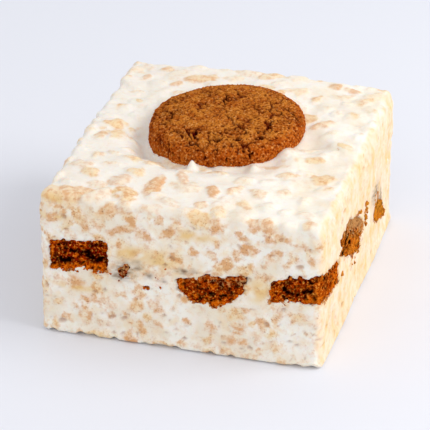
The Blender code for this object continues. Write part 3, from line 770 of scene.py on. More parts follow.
def scatter_grains(look):
    """Grains at each side and the top. On top they lie flat, and in a cut side they are cut across."""
    rng = random.Random(look.seed)
    middle = Vector((0.0, 0.0, HALF.z))
    half_length = 0.5 * look.grain_length / MM
    half_width = 0.5 * look.grain_width / MM
    grains = []
    for side in SIDES:
        on_top = side.z > 0.5
        across = Vector((1, 0, 0)) if abs(side.x) < 0.5 else Vector((0, 1, 0))
        upward = side.cross(across)
        reach = (abs(across.dot(HALF)), abs(upward.dot(HALF)))
        placed = Spots()
        picked = Spots()
        chosen = TOP_GRAINS if on_top else FRONT_GRAINS if side.y < -0.5 else ()
        for x, up, long, wide, degrees, strength, tone in chosen:
            spot = (x, up if on_top else up - HALF.z)
            picked.add(spot)
            along = across * math.cos(math.radians(degrees)) + upward * math.sin(math.radians(degrees))
            centre = middle + side * abs(side.dot(HALF)) + across * spot[0] + upward * spot[1]
            grains.append(Grain(centre, side, along, long, wide, strength, tone, True))
        for _ in range(GRAIN_TRIES):
            spot = (rng.uniform(-1.0, 1.0) * reach[0], rng.uniform(-1.0, 1.0) * reach[1])
            size = rng.uniform(0.5, 1.15)
            if placed.nearer(spot, APART_ON_TOP + APART_BY_SIZE * size if on_top else APART_IN_SIDES):
                continue
            placed.add(spot)
            turn = rng.gauss(0.2, 0.8)
            sizes = (1.45 * half_length * size, 1.85 * half_width * size * rng.uniform(0.85, 1.1))
            if not on_top:
                sizes = (half_length * rng.uniform(0.35, 1.2), half_width * rng.uniform(0.6, 1.5))
            out = float(right_side(spot[0])) if side.x > 0.5 else abs(side.dot(HALF))
            centre = middle + side * out + across * spot[0] + upward * spot[1]
            along = across * math.cos(turn) + upward * math.sin(turn)
            tone = min(max(rng.gauss(0.42, 0.28), 0.0), 1.0) * (0.6 if on_top else 1.0)
            grain = Grain(centre, side, along, *sizes, rng.random(), tone, False)
            if not picked.nearer(spot, CLEAR_ON_TOP if on_top else CLEAR_IN_SIDES):
                grains.append(grain)
    return grains


def thin_film(points):
    """How thin the marshmallow over the grains on top is, from place to place."""
    x, y, _ = points.T
    film = 0.6 * noise_at(points, 2.6, 71.0) + 0.9 * noise_at(points, 9.0, 73.0)
    film -= 0.45 * smooth_step(-12.0, -30.0, x) * smooth_step(-36.0, -20.0, y)
    film += 0.6 * smooth_step(26.0, 40.0, y) - 0.35 * smooth_step(12.0, 34.0, x)
    return film + 0.5 * smooth_step(-18.0, -36.0, y) * smooth_step(18.0, 0.0, x)


def rice_in_sides(points):
    """How much rice the knife laid open in the sides, from place to place, about 1 in the middle."""
    x, y, z = points.T
    rice = 0.85 + 0.5 * noise_at(points, 11.0, 79.0) + 0.6 * smooth_step(26.0, 33.0, z)
    return rice - 1.0 * smooth_step(24.0, 32.0, x) * smooth_step(-40.0, -44.0, y)


def grain_marks(points, poured, dragged, grains, rise):
    """What the grains do to the surface: its lift, how much rice shows, and that rice's tone."""
    count = len(points)
    warp = np.column_stack([noise_at(points, 2.0, shift) for shift in (3.0, 13.0, 23.0)])
    warped = points + 1.1 * warp
    film = thin_film(points)
    rice = rice_in_sides(points)
    lift = np.zeros(count)
    show = np.zeros(count)
    tone = np.full(count, 0.4)
    for grain in grains:
        on_top = grain.side.z > 0.5
        span = grain.half_length + 1.2
        near = np.flatnonzero((np.abs(points - grain.centre) < (span, span, span + 4.0)).all(axis=1))
        away = warped[near] - grain.centre
        if grain.side.x > 0.5:
            away[:, 2] *= 1.0 - 0.6 * dragged[near]
        along = away @ grain.along / grain.half_length
        across = away @ grain.side.cross(grain.along) / grain.half_width
        body = 1.0 - along ** 2 - across ** 2 - (away @ grain.side / 3.5) ** 2
        weight = poured[near] if on_top else 1.0 - poured[near]
        if grain.picked:
            weight = np.ones(len(near))
        height = rise if on_top else RISE_IN_SIDES
        lift[near] = np.maximum(lift[near], weight * height * smooth_step(-0.1, 1.0, body))
        if on_top:
            veil = 0.15 + 0.4 * film[near] if grain.picked else film[near]
            seen = smooth_step(0.0, 0.8, body + veil) * (0.15 + 0.75 * grain.strength ** 1.5)
        else:
            seen = smooth_step(-0.5, 0.8, body + 0.6 * (rice[near] - 1.0)) * (0.25 + 0.6 * grain.strength)
        here = weight * seen
        tone[near] = np.where(here > show[near], grain.tone, tone[near])
        show[near] = np.maximum(show[near], here)
    return lift, show, tone


def air_pits(points, normals, look):
    """Depth of the round and drawn-out air pits that the knife opened in the cut sides."""
    rng = random.Random(look.seed + 1)
    depth = np.zeros(len(points))
    sides = np.flatnonzero((normals[:, 2] < 0.4) & (points[:, 2] > 1.5))
    for _ in range(AIR_PITS):
        centre = points[sides[rng.randrange(len(sides))]]
        radius = 0.25 + 0.5 * rng.random() ** 4
        longer = rng.uniform(1.0, 2.2)
        tilt = rng.gauss(0.0, 0.5)
        near = sides[(np.abs(points[sides] - centre) < 2.6).all(axis=1)]
        away = points[near] - centre
        flat = away[:, 0] if abs(normals[near[0], 1]) > 0.5 else away[:, 1]
        along = (flat * math.cos(tilt) + away[:, 2] * math.sin(tilt)) / (radius * longer)
        across = (away[:, 2] * math.cos(tilt) - flat * math.sin(tilt)) / radius
        hollow = np.clip(1.0 - along ** 2 - across ** 2, 0.0, 1.0) ** 0.6 * min(1.0, radius / 0.7)
        depth[near] = np.maximum(depth[near], hollow)
    return depth


def slice_tree():
    """One search tree over all the cut cookie pieces' solids, in millimetres."""
    corners = []
    faces = []
    for name in SLICES:
        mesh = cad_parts[name].data
        start = len(corners)
        corners += [vertex.co / MM for vertex in mesh.vertices]
        faces += [[start + index for index in polygon.vertices] for polygon in mesh.polygons]
    return BVHTree.FromPolygons(corners, faces)


def slice_outlines(points, normals):
    """Distance from each point of the sides to the outline of a cut cookie piece, negative inside it."""
    tree = slice_tree()
    far = 9.0
    outside = 6.0
    inward = 1.6
    half_step = 0.24
    outline = np.full(len(points), far)
    height = points[:, 2]
    band = np.flatnonzero((np.abs(normals[:, 2]) < 0.2) & (height > LAYER_LOW) & (height < LAYER_HIGH))
    inside = []
    for number in band:
        out = Vector(normals[number])
        hit = tree.ray_cast(Vector(points[number]) + out * outside, -out, outside + inward)
        inside.append(hit[0] is not None)
    inside = np.array(inside)
    for here, there, sign in ((inside, ~inside, -1.0), (~inside, inside, 1.0)):
        finder = KDTree(int(there.sum()))
        for number in band[there]:
            finder.insert(points[number], int(number))
        finder.balance()
        for number in band[here]:
            outline[number] = sign * (finder.find(points[number])[2] - half_step)
    return outline


def under_slices(points):
    """1 along the lower half of each cut cookie piece, where its crust breaks up, and 0 above it."""
    under = np.zeros(len(points))
    for name in SLICES:
        low, high = (np.array(corner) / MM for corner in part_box(name))
        near = ((points > low - 2.5) & (points < high + 2.5)).all(axis=1)
        middle = 0.5 * (low[2] + high[2])
        under[near] = smooth_step(middle - 0.5, low[2] + 1.0, points[near, 2])
    return under


def torn_edges(points, normals):
    """How the marshmallow ends at each cut cookie piece: where it is torn, dented, or laps over."""
    outline = slice_outlines(points, normals)
    under = under_slices(points)
    chip = near_chip(points)
    bites = near_spots(points, normals, BITES)
    ragged = 0.15 + 0.8 * noise_at(points, 1.3, 31.0) + 0.7 * noise_at(points, 3.0, 37.0)
    ragged += (under * (0.3 + 1.8 * noise_at(points, 2.3, 89.0))
               + chip * (0.3 + 2.0 * noise_at(points, 1.2, 91.0)))
    ragged += 3.2 * bites - 0.8 * near_spots(points, normals, CLEAR)
    torn = outline + ragged
    dent = smooth_step(0.3, -0.25, torn + 0.25)
    lap = smooth_step(0.8, -0.4, outline) * (1.0 - dent)
    return Edges(torn, under * (1.0 - chip), bites, dent, lap)


def surface_lift(points, poured, look):
    """The broad lumps, and the finer ones that are rough in the cut sides and soft in the poured top."""
    lift = noise_at(points, 16.0) * (look.lump_side + (look.lump_top - look.lump_side) * poured) / MM
    lift += (1.0 - poured) * (0.30 * noise_at(points, 2.6, 41.0) + 0.14 * noise_at(points, 1.0, 43.0))
    lift += poured * (0.5 * noise_at(points, 5.5, 45.0) + 0.12 * noise_at(points, 2.6, 47.0))
    return lift


def pressed_crust(points, edges, pressed):
    """Where broken crust shows, under the cut pieces and where bits of it are pressed in."""
    fringe = edges.crumbling * smooth_step(0.9, 0.0, edges.torn + 0.9 * noise_at(points, 1.0, 95.0))
    bits = pressed * (1.0 + 1.3 * noise_at(points, 1.1, 101.0))
    return np.maximum(fringe, smooth_step(0.3, 0.6, bits))


def block_relief(look):
    """The block's surface, with the marks its material reads, and its grains."""
    counts = [round(size / (look.step / MM)) for size in (WIDTH, DEPTH, HEIGHT)]
    places, faces = box_shell(counts, coarse=6)
    points, normals = rounded_box(places)
    poured = smooth_step(0.15, 0.62, normals[:, 2])
    dragged = normals[:, 0] + 0.5 * noise_at(points, 5.0, 83.0) + 0.2 * noise_at(points, 1.7, 85.0)
    dragged = smooth_step(0.35, 0.9, dragged)
    share = np.maximum(points[:, 0], 0.0) / (0.5 * WIDTH)
    points[:, 0] += (right_side(points[:, 1]) - 0.5 * WIDTH) * share
    level = top_level(points) * np.maximum(normals[:, 2], 0.0)
    sunk = crater(points) * (normals[:, 2] > 0.9)
    grains = scatter_grains(look)
    lift, show, tone = grain_marks(points, poured, dragged, grains, look.grain_rise / MM)
    pits = air_pits(points, normals, look) * (1.0 - poured)
    edges = torn_edges(points, normals)
    pressed = near_spots(points, normals, REMNANTS)
    move = surface_lift(points, poured, look)
    move += pressed * 0.9 * noise_at(points, 0.9, 103.0)
    move += (lift + (0.2 + 0.35 * edges.bites) * edges.lap - SURFACE_INSET
             - pits * (1.0 - edges.lap) * look.pit_depth / MM)
    base_fade = smooth_step(0.0, 4.0, points[:, 2])
    points += normals * (move * base_fade - edges.dent * DENT_DEPTH)[:, None]
    points[:, 2] += level - sunk
    points[:, 2] = np.maximum(points[:, 2], 0.0)
    settle_base(points, places)
    fit_plan(points)
    stain = smooth_step(1.3, 0.0, edges.torn) * smooth_step(0.0, 0.5, noise_at(points, 1.1, 53.0))
    straw = near_spots(points, normals, STRAW) * smooth_step(-0.6, 0.2, noise_at(points, 2.6, 61.0))
    marks = {"grain": show * (1.0 - edges.dent), "tone": tone, "poured": poured, "drag": dragged,
             # The air pits are marked to take the pore colour as painted shade
             "pore_and_pit_shade": np.clip(pits * 0.6, 0.0, 0.5), "stain": stain * 0.45, "straw": straw,
             "fringe": pressed_crust(points, edges, pressed),
             # Painted shade on the poured top, growing toward its left side, where less of the key light
             # falls
             "painted_left_shade": 0.8 * poured * smooth_step(38.0, -12.0, points[:, 0]),
             "smudge": smudge_marks(points, normals)}
    return Relief(points, faces, marks), grains


def smudge_marks(points, normals):
    """Thin, level strokes of cookie dust round the spots where it greys the marshmallow."""
    strokes = noise_at(points * (0.6, 0.6, 1.7), 0.9, 67.0)
    strokes = 0.3 + 0.7 * smooth_step(-0.4, 0.4, strokes)
    return np.clip(1.2 * near_spots(points, normals, SMUDGES) * strokes, 0.0, 1.0)


def near_chip(points):
    """1 at the small chip in the front, falling to 0 round it."""
    low, high = (np.array(corner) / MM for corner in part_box("cookie_chip_front"))
    away = np.maximum(np.maximum(low - points, points - high), 0.0)
    return smooth_step(2.5, 0.5, np.linalg.norm(away, axis=1))


def near_spots(points, normals, spots):
    """1 at the middle of each spot on a side, falling to 0 past its reaches."""
    nearness = np.zeros(len(points))
    for out, along, up, reach_along, reach_up in spots:
        across = points[:, 0] if out == FRONT else points[:, 1]
        off = ((across - along) / reach_along) ** 2 + ((points[:, 2] - up) / reach_up) ** 2
        nearness = np.maximum(nearness, np.exp(-off) * smooth_step(0.0, 0.5, normals @ np.array(out)))
    return nearness


def settle_base(points, places):
    """Spread the foot of the block a little, with an uneven lower edge."""
    height = points[:, 2]
    spread = FOOT_SPREAD * np.maximum(1.0 - height / FOOT_HEIGHT, 0.0) ** 2
    points[:, 0] += spread * np.maximum(points[:, 0], 0.0) / (0.5 * WIDTH)
    points[:, 1] += spread * points[:, 1] / (0.5 * DEPTH)
    edge = np.flatnonzero(height < NICKED_HEIGHT)
    nicks = np.maximum(noise_at(points[edge] * (1.0, 1.0, 0.3), 2.6, 59.0) - 0.05, 0.0)
    rim = (places[edge, :2] == 0.0).any(axis=1) | (places[edge, :2] == 1.0).any(axis=1)
    points[edge, 2] += 2.0 * nicks * rim * smooth_step(NICKED_HEIGHT, 0.5, height[edge])


def fit_plan(points):
    """Keep the block within the plan of its solid."""
    for axis, size in ((0, WIDTH), (1, DEPTH)):
        low = points[:, axis].min()
        high = points[:, axis].max()
        points[:, axis] = (points[:, axis] - 0.5 * (low + high)) * size / (high - low)


def scatter_tree(name, material):
    """Geometry nodes that put a wrinkled ball on every point, turned and sized by the point's marks."""
    tree = bpy.data.node_groups.new(name, "GeometryNodeTree")
    face = tree.interface
    face.new_socket("Geometry", in_out="INPUT", socket_type="NodeSocketGeometry")
    for socket in ("Wrinkle", "Wrinkle size"):
        face.new_socket(socket, in_out="INPUT", socket_type="NodeSocketFloat")
    for socket in ("Segments", "Rings"):
        face.new_socket(socket, in_out="INPUT", socket_type="NodeSocketInt")
    face.new_socket("Geometry", in_out="OUTPUT", socket_type="NodeSocketGeometry")
    entry = add_node(tree, "NodeGroupInput")
    ball = add_node(tree, "GeometryNodeMeshUVSphere",
                    {"Segments": entry.outputs["Segments"], "Rings": entry.outputs["Rings"], "Radius": 1.0})
    turn = add_node(tree, "GeometryNodeInputNamedAttribute", {"Name": "turn"}, data_type="FLOAT_VECTOR")
    size = add_node(tree, "GeometryNodeInputNamedAttribute", {"Name": "size"}, data_type="FLOAT_VECTOR")
    placed = add_node(tree, "GeometryNodeInstanceOnPoints",
                      {"Points": entry.outputs["Geometry"], "Instance": ball.outputs["Mesh"],
                       "Rotation": turn.outputs["Attribute"], "Scale": size.outputs["Attribute"]})
    real = add_node(tree, "GeometryNodeRealizeInstances", {"Geometry": placed.outputs["Instances"]})
    spot = add_node(tree, "GeometryNodeInputPosition")
    waves = add_node(tree, "ShaderNodeTexNoise",
                     {"Vector": spot.outputs["Position"], "Detail": 1.0,
                      "Scale": levels(tree, "DIVIDE", 1.0, entry.outputs["Wrinkle size"])})
    centred = levels(tree, "SUBTRACT", waves.outputs["Fac"], 0.5)
    height = levels(tree, "MULTIPLY", centred, entry.outputs["Wrinkle"], 4.0)
    out = add_node(tree, "GeometryNodeInputNormal")
    push = add_node(tree, "ShaderNodeVectorMath",
                    {0: out.outputs["Normal"], "Scale": height}, operation="SCALE")
    moved = add_node(tree, "GeometryNodeSetPosition",
                     {"Geometry": real.outputs["Geometry"], "Offset": push.outputs["Vector"]})
    coloured = add_node(tree, "GeometryNodeSetMaterial",
                        {"Geometry": moved.outputs["Geometry"], "Material": material})
    add_node(tree, "NodeGroupOutput", {"Geometry": coloured.outputs["Geometry"]})
    return tree


def points_object(name, places, turns, sizes, **marks):
    """A mesh of bare points in metres, each with a turn, a size and the marks that its material reads."""
    mesh = bpy.data.meshes.new(name)
    mesh.from_pydata([place * MM for place in places], [], [])
    for mark, values in (("turn", turns), ("size", sizes)):
        layer = mesh.attributes.new(mark, "FLOAT_VECTOR", "POINT")
        layer.data.foreach_set("vector", np.asarray(values, dtype=np.float32).ravel())
    add_marks(mesh, marks)
    item = bpy.data.objects.new(name, mesh)
    bpy.context.scene.collection.objects.link(item)
    return item


def run_tree(item, tree, values):
    """Turn an object with a geometry nodes tree into a plain mesh, with values for the tree's inputs."""
    modifier = item.modifiers.new("Nodes", "NODES")
    modifier.node_group = tree
    for socket in tree.interface.items_tree:
        if socket.in_out == "INPUT" and socket.name in values:
            modifier[socket.identifier] = values[socket.name]
    use_modifiers(item)
    bpy.data.node_groups.remove(tree)


def sink_grains(tree, grains, proud):
    """Places, turns and sizes of whole grains that stand a little out of the block's surface."""
    places = []
    turns = []
    sizes = []
    for grain in grains:
        place, normal, _, _ = tree.ray_cast(grain.centre + grain.side * 6.0, -grain.side)
        beside = normal.cross(grain.along).normalized()
        thick = 0.45 * grain.half_width
        places.append(place - normal * (thick - proud))
        turns.append(Matrix((beside.cross(normal), beside, normal)).transposed().to_euler())
        sizes.append((0.85 * grain.half_length * MM, 0.85 * grain.half_width * MM, thick * MM))
    return places, turns, sizes


class TREAT_OT_block(bpy.types.Operator):
    """Make the marshmallow block and the puffed grains that show in it"""
    bl_idname = "treat.make_block"
    bl_label = "Block and grains"

    def execute(self, context):
        look = context.scene.treat_block
        relief, grains = block_relief(look)
        block = add_mesh("marshmallow_block", relief.points, relief.faces, relief.marks)
        finish_piece(block, marshmallow_material(look), "marshmallow_rice", BLOCK)
        tree = BVHTree.FromPolygons(relief.points.tolist(), relief.faces)
        bare = [grain for grain in grains if grain.strength > BARE and self.in_the_open(grain)]
        item = points_object("puffed_rice", *sink_grains(tree, bare, look.proud / MM),
                             tone=[grain.tone for grain in bare])
        material = puffed_rice_material(look)
        run_tree(item, scatter_tree("Puffed grains", material),
                 {"Wrinkle": look.wrinkle, "Wrinkle size": look.wrinkle_size, "Segments": 16, "Rings": 10})
        item.data.shade_smooth()
        finish_piece(item, material, "marshmallow_rice")
        return {"FINISHED"}

    @staticmethod
    def in_the_open(grain):
        """Whether a grain is clear of the block's edges and the cookies."""
        from_edge = 2.0
        from_slice = 3.0
        centre = grain.centre
        inset = sorted((0.5 * WIDTH - abs(centre.x), 0.5 * DEPTH - abs(centre.y),
                        min(centre.z, HEIGHT - centre.z)))
        if inset[1] < grain.half_length + from_edge:
            return False
        if grain.side.z > 0.5:
            return (centre.xy - COOKIE_MIDDLE.xy).length > COOKIE_RADIUS + grain.half_length
        for name in SLICES:
            low, high = (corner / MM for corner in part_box(name))
            if all(low[axis] - from_slice < centre[axis] < high[axis] + from_slice for axis in range(3)):
                return False
        return True


# The deeper crevices in the top cookie's crust, as x and y of both ends and half the width
CREVICES = (
    (-7.1, -5.0, -4.3, -13.0, 0.40), (-1.0, -10.2, 1.4, -8.8, 0.42), (5.5, -8.0, 6.5, -8.3, 0.5),
    (10.8, -6.2, 12.6, -4.8, 0.42), (12.5, 4.4, 12.5, -0.5, 0.38), (12.5, -0.3, 10.8, -3.2, 0.34),
    (13.0, 11.9, 14.7, 7.2, 0.38), (-4.3, 17.5, -2.9, 11.1, 0.34), (-17.0, 5.4, -15.4, 0.8, 0.34),
    (5.0, -14.1, 6.1, -16.8, 0.36), (11.0, -11.3, 11.9, -13.2, 0.30), (14.6, 13.8, 20.1, 9.3, 0.26),
    (4.9, -1.5, 7.7, -5.2, 0.26),
)


def crevices(points):
    """1 along the middle of each crevice, falling to 0 at its uneven sides."""
    spots = points[:, :2] + np.column_stack([noise_at(points, 1.4, shift) for shift in (33.0, 43.0)]) * 1.6
    deep = np.zeros(len(points))
    for x0, y0, x1, y1, half in CREVICES:
        start = np.array((x0, y0)) - COOKIE_MIDDLE.xy
        way = np.array((x1 - x0, y1 - y0))
        share = np.clip((spots - start) @ way / (way @ way), 0.0, 1.0)
        off = np.linalg.norm(spots - start - share[:, None] * way, axis=1)
        deep = np.maximum(deep, smooth_step(1.4 * half, 0.3 * half, off))
    return deep


def bulge(share, power):
    """How far out a rounded form still reaches, 1 to 0, at a share of the way to its end."""
    return (1.0 - share ** power) ** (1.0 / power)


def cookie_surface(places, radius, thickness):
    """Points of a round cookie, a flat underside, a fat rim and a low dome, from places on a box."""
    flat = 2.0 * places[:, :2] - 1.0
    square = np.maximum(np.abs(flat).max(axis=1), 1e-9)
    wider = np.abs(flat[:, 0]) > np.abs(flat[:, 1])
    turn = np.where(wider, flat[:, 1], flat[:, 0]) / square * math.pi / 4.0
    direction = np.where(wider[:, None],
                         np.column_stack((np.sign(flat[:, 0]) * np.cos(turn), np.sin(turn))),
                         np.column_stack((np.sin(turn), np.sign(flat[:, 1]) * np.cos(turn))))
    half = 0.5 * thickness
    side = (places[:, 2] > 0.0) & (places[:, 2] < 1.0)
    share = RIM_STARTS * square
    dome = half + half * bulge(share, RIM_ABOVE)
    under = half * (1.0 - bulge(share, RIM_BELOW))
    edge_up = half * bulge(RIM_STARTS, RIM_ABOVE)
    edge_down = half * bulge(RIM_STARTS, RIM_BELOW)
    climb = places[:, 2] * (edge_up + edge_down) - edge_down
    rim = np.where(climb > 0.0, bulge(np.clip(climb, 0.0, None) / half, RIM_ABOVE),
                   bulge(np.clip(-climb, 0.0, None) / half, RIM_BELOW))
    share = np.where(side, rim, share)
    height = np.where(side, half + climb, np.where(places[:, 2] >= 1.0, dome, under))
    return np.column_stack((direction * (radius * share)[:, None], height))


def drooping_cookie(step):
    """The top cookie's plain form round its own axis, lower and wider at its front left edge."""
    across = round(2.0 * COOKIE_RADIUS * 0.92 / step)
    places, faces = box_shell((across, across, 22), coarse=8)
    points = cookie_surface(places, COOKIE_RADIUS - 0.2, COOKIE_THICKNESS)
    toward = np.cos(np.arctan2(points[:, 1], points[:, 0]) - COOKIE_DROOPS_AT)
    droop = smooth_step(0.5, 1.0, toward) * smooth_step(0.75, 0.1, points[:, 2] / COOKIE_THICKNESS)
    points[:, 2] -= COOKIE_DROOP * droop
    points[:, :2] *= (1.0 + COOKIE_WIDENS * droop)[:, None]
    return points, faces


def crust_relief(points, normals, look):
    """How far the crust's lumps, grit, cracks and pits move each point out, and the marks for their painted
    shade and light.
    """
    radial = np.linalg.norm(points[:, :2], axis=1) / COOKIE_RADIUS
    bent = points + np.column_stack([noise_at(points, 2.6, shift) for shift in (2.0, 12.0, 22.0)]) * 1.1
    wide = cracks_at(bent, 7.0, 0.085, 3.0) * smooth_step(0.0, 0.4, noise_at(points, 7.0, 7.0))
    thin = cracks_at(bent, 3.1, 0.16, 9.0) * smooth_step(-0.1, 0.35, noise_at(points, 4.5, 17.0))
    pebble = 0.7 * rough_at(points, 1.0, 4, 5.0) + 0.6 - cracks_at(bent, 0.95, 0.75, 15.0)
    uneven = noise_at(points, 9.0, 1.0) + 0.6 * noise_at(points, 4.6, 19.0)
    pits = smooth_step(0.34, 0.52, noise_at(points, 1.1, 27.0))
    upward = smooth_step(-0.2, 0.25, normals[:, 2])
    deep = upward * np.maximum(0.85 * wide + 0.55 * thin + 0.65 * pits, 2.1 * crevices(points))
    move = 0.3 * uneven + look.grit / MM * pebble - deep * look.crack_depth / MM
    # Painted shade where the crust is cracked, pitted or low, and painted light where its relief is raised
    marks = {"low": np.clip(1.2 * deep + 0.5 * smooth_step(-0.1, -0.8, pebble), 0.0, 1.0),
             "high": 0.75 * smooth_step(0.15, 0.75, pebble),
             "rim": smooth_step(0.8, 1.0, radial) * 0.6}
    return move, marks


class TREAT_OT_top_cookie(bpy.types.Operator):
    """Make the whole ginger cookie on top"""
    bl_idname = "treat.make_top_cookie"
    bl_label = "Cookie on top"

    def execute(self, context):
        look = context.scene.treat_cookie
        points, faces = drooping_cookie(look.step / MM)
        normals = point_normals(points, faces)
        move, marks = crust_relief(points, normals, look)
        points = points + normals * move[:, None]
        turn = Matrix.Rotation(math.radians(-COOKIE_LEAN), 3, "Y")
        turn = turn @ Matrix.Rotation(math.radians(COOKIE_NOD), 3, "X")
        points[:, 2] -= 0.5 * COOKIE_THICKNESS
        points = points @ np.array(turn).T + np.array(COOKIE_MIDDLE)
        cookie = add_mesh("top_cookie", points, faces, marks)
        finish_piece(cookie, crust_material(look), "baked_cookie", TOP_COOKIE)
        return {"FINISHED"}


# How a cut piece looks: how dry and orange its crumb is, how high up the cut its crust shows, from -1 to 1,
# how golden it is, how far down the knife drew marshmallow over it and how thickly, and how far behind the
# side it lies in millimetres
Cut = namedtuple("Cut", "warm crust gold veil film sunk")
PLAIN_CUT = Cut(0.4, -0.4, 0.0, 0.0, 0.0, 0.25)
CUTS = {
    "cookie_slice_front_left": Cut(0.1, -0.5, 0.0, 0.0, 0.0, 0.25),
    "cookie_slice_front_middle": Cut(0.6, -0.5, 0.0, 0.8, 0.6, 0.2),
    "cookie_slice_front_right": Cut(0.5, -0.6, 0.15, 0.0, 0.0, 0.25),
    "cookie_slice_right_middle": Cut(0.4, -0.9, 0.45, 0.72, 0.88, 0.25),
    "cookie_slice_right_back": Cut(0.9, 0.0, 0.9, 0.5, 0.9, 0.25),
    "cookie_chip_front": Cut(0.3, -1.2, 0.0, 1.2, 0.6, 0.3),
}


def even_piece(name, voxel):
    """An object with a cut cookie piece's form from its solid, in even squares."""
    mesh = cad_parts[name].data.copy()
    bm = bmesh.new()
    bm.from_mesh(mesh)
    bmesh.ops.remove_doubles(bm, verts=bm.verts, dist=1e-5)
    bm.to_mesh(mesh)
    bm.free()
    item = bpy.data.objects.new(name.replace("cookie_", "cut_"), mesh)
    bpy.context.scene.collection.objects.link(item)
    remesh = item.modifiers.new("Even squares", "REMESH")
    remesh.mode = "VOXEL"
    remesh.voxel_size = voxel
    use_modifiers(item)
    return item


def climb_along(away, way):
    """How far along a way places lie from the middle, with almost all of them from -1 to 1."""
    climb = away @ way
    return climb / np.percentile(np.abs(climb), 98.0)


def crumb_piece(name, look, number):
    """A cut cookie piece with an open crumb, an orange edge at the crust, and smeared marshmallow."""
    item = even_piece(name, look.voxel)
    points = vectors_of(item.data, "co") / MM
    normals = vectors_of(item.data, "normal")
    face = CUTS.get(name, PLAIN_CUT)
    centre = points.mean(axis=0)
    _, _, axes = np.linalg.svd(points - centre, full_matrices=False)
    thin = axes[2] * (1.0 if axes[2][2] > 0.0 else -1.0)
    level = climb_along(points - centre, thin)
    outer = (np.abs(points[:, 1]) > 0.5 * DEPTH - 1.0) | (points[:, 0] > right_side(points[:, 1]) - 1.0)
    cut = (outer | (points[:, 0] < 1.0 - 0.5 * WIDTH)).astype(float)
    crumb = rough_at(points, 0.95, 4, 3.0 + number)
    holes = smooth_step(0.2, 0.5, noise_at(points, 1.2, 7.0 + number))
    # Painted shade: the holes and the low parts of the crumb's relief are marked to be painted almost black
    low = np.clip(0.8 * holes + 0.5 * smooth_step(-0.1, -0.6, crumb), 0.0, 1.0)
    move = look.crumb / MM * crumb - (0.5 * holes + face.sunk) * cut + 0.35 * (1.0 - cut)
    points += normals * move[:, None]
    edge = smooth_step(face.crust, face.crust - 0.5, level + 0.8 * noise_at(points, 2.2, 11.0 + number))
    torn = 1.1 * noise_at(points, 1.1, 21.0 + number)
    moist = smooth_step(0.3, 0.75, near_spots(points, normals, HOLLOWS) + torn)
    glow = smooth_step(0.25, 0.7, near_spots(points, normals, GLOWS) - torn)
    # Painted light: along the cut face's border, where its normals turn away from the light, the crumb is
    # painted toward orange and kept clear of the painted shade
    painted_light_border = cut * smooth_step(0.97, 0.7, np.abs(normals[:, :2]).max(axis=1))
    low = np.maximum(low, moist) * (1.0 - 0.7 * painted_light_border)
    edge = np.maximum(np.maximum(edge, glow) * (1.0 - moist), 0.45 * painted_light_border)
    upward = np.array((0.0, 0.5, 0.87) if centre[0] > 0.25 * WIDTH else (0.0, 0.0, 1.0))
    climb = climb_along(points - centre, upward) + 0.6 * noise_at(points, 1.6, 13.0 + number)
    reach = 1.0 - 1.7 * face.veil
    veil = face.film * smooth_step(reach, reach + 0.9, climb)
    warm = np.clip(face.warm + 0.5 * noise_at(points, 3.0, 17.0 + number), 0.0, 1.0)
    gold = face.gold * smooth_step(32.0, 39.0, points[:, 0])
    gold = np.clip(gold * (1.0 + 1.2 * noise_at(points, 2.4, 19.0 + number)), 0.0, 1.0)
    item.data.vertices.foreach_set("co", (points * MM).ravel())
    add_marks(item.data, {"low": low, "edge": edge, "veil": veil, "warm": warm, "gold": gold})
    item.data.shade_smooth()
    item.data.update()
    return item


# Where loose crumbs stick to the sides, each spot with the count of its crumbs
CRUMB_SPOTS = (
    (FRONT, -10.2, 18.4, 0.8, 0.2, 7), (FRONT, -6.1, 19.1, 0.3, 0.3, 1),
    (FRONT, -7.1, 22.1, 0.3, 0.3, 2), (FRONT, -15.6, 22.6, 1.2, 1.0, 4),
    (FRONT, -18.0, 19.4, 0.3, 0.3, 1), (FRONT, -4.8, 25.0, 0.3, 0.3, 1),
    (FRONT, -32.6, 20.9, 1.8, 0.6, 12), (FRONT, -24.0, 21.6, 2.4, 0.6, 14),
    (FRONT, -37.6, 26.0, 0.2, 2.4, 7), (FRONT, 24.9, 22.6, 0.3, 1.6, 9), (FRONT, 8.5, 16.2, 2.6, 0.5, 5),
    (RIGHT, 1.6, 25.2, 0.5, 0.3, 2), (RIGHT, 7.4, 24.6, 0.9, 0.4, 5), (RIGHT, 7.0, 22.7, 1.1, 0.5, 6),
    (RIGHT, 6.4, 21.0, 0.9, 0.5, 5), (RIGHT, 5.7, 19.1, 0.7, 0.8, 5), (RIGHT, -22.9, 18.5, 0.5, 0.5, 5),
    (RIGHT, -1.4, 26.0, 1.2, 0.7, 3), (RIGHT, -7.0, 15.0, 4.0, 2.0, 10),
    (RIGHT, 31.5, 8.7, 2.6, 1.2, 10),
)


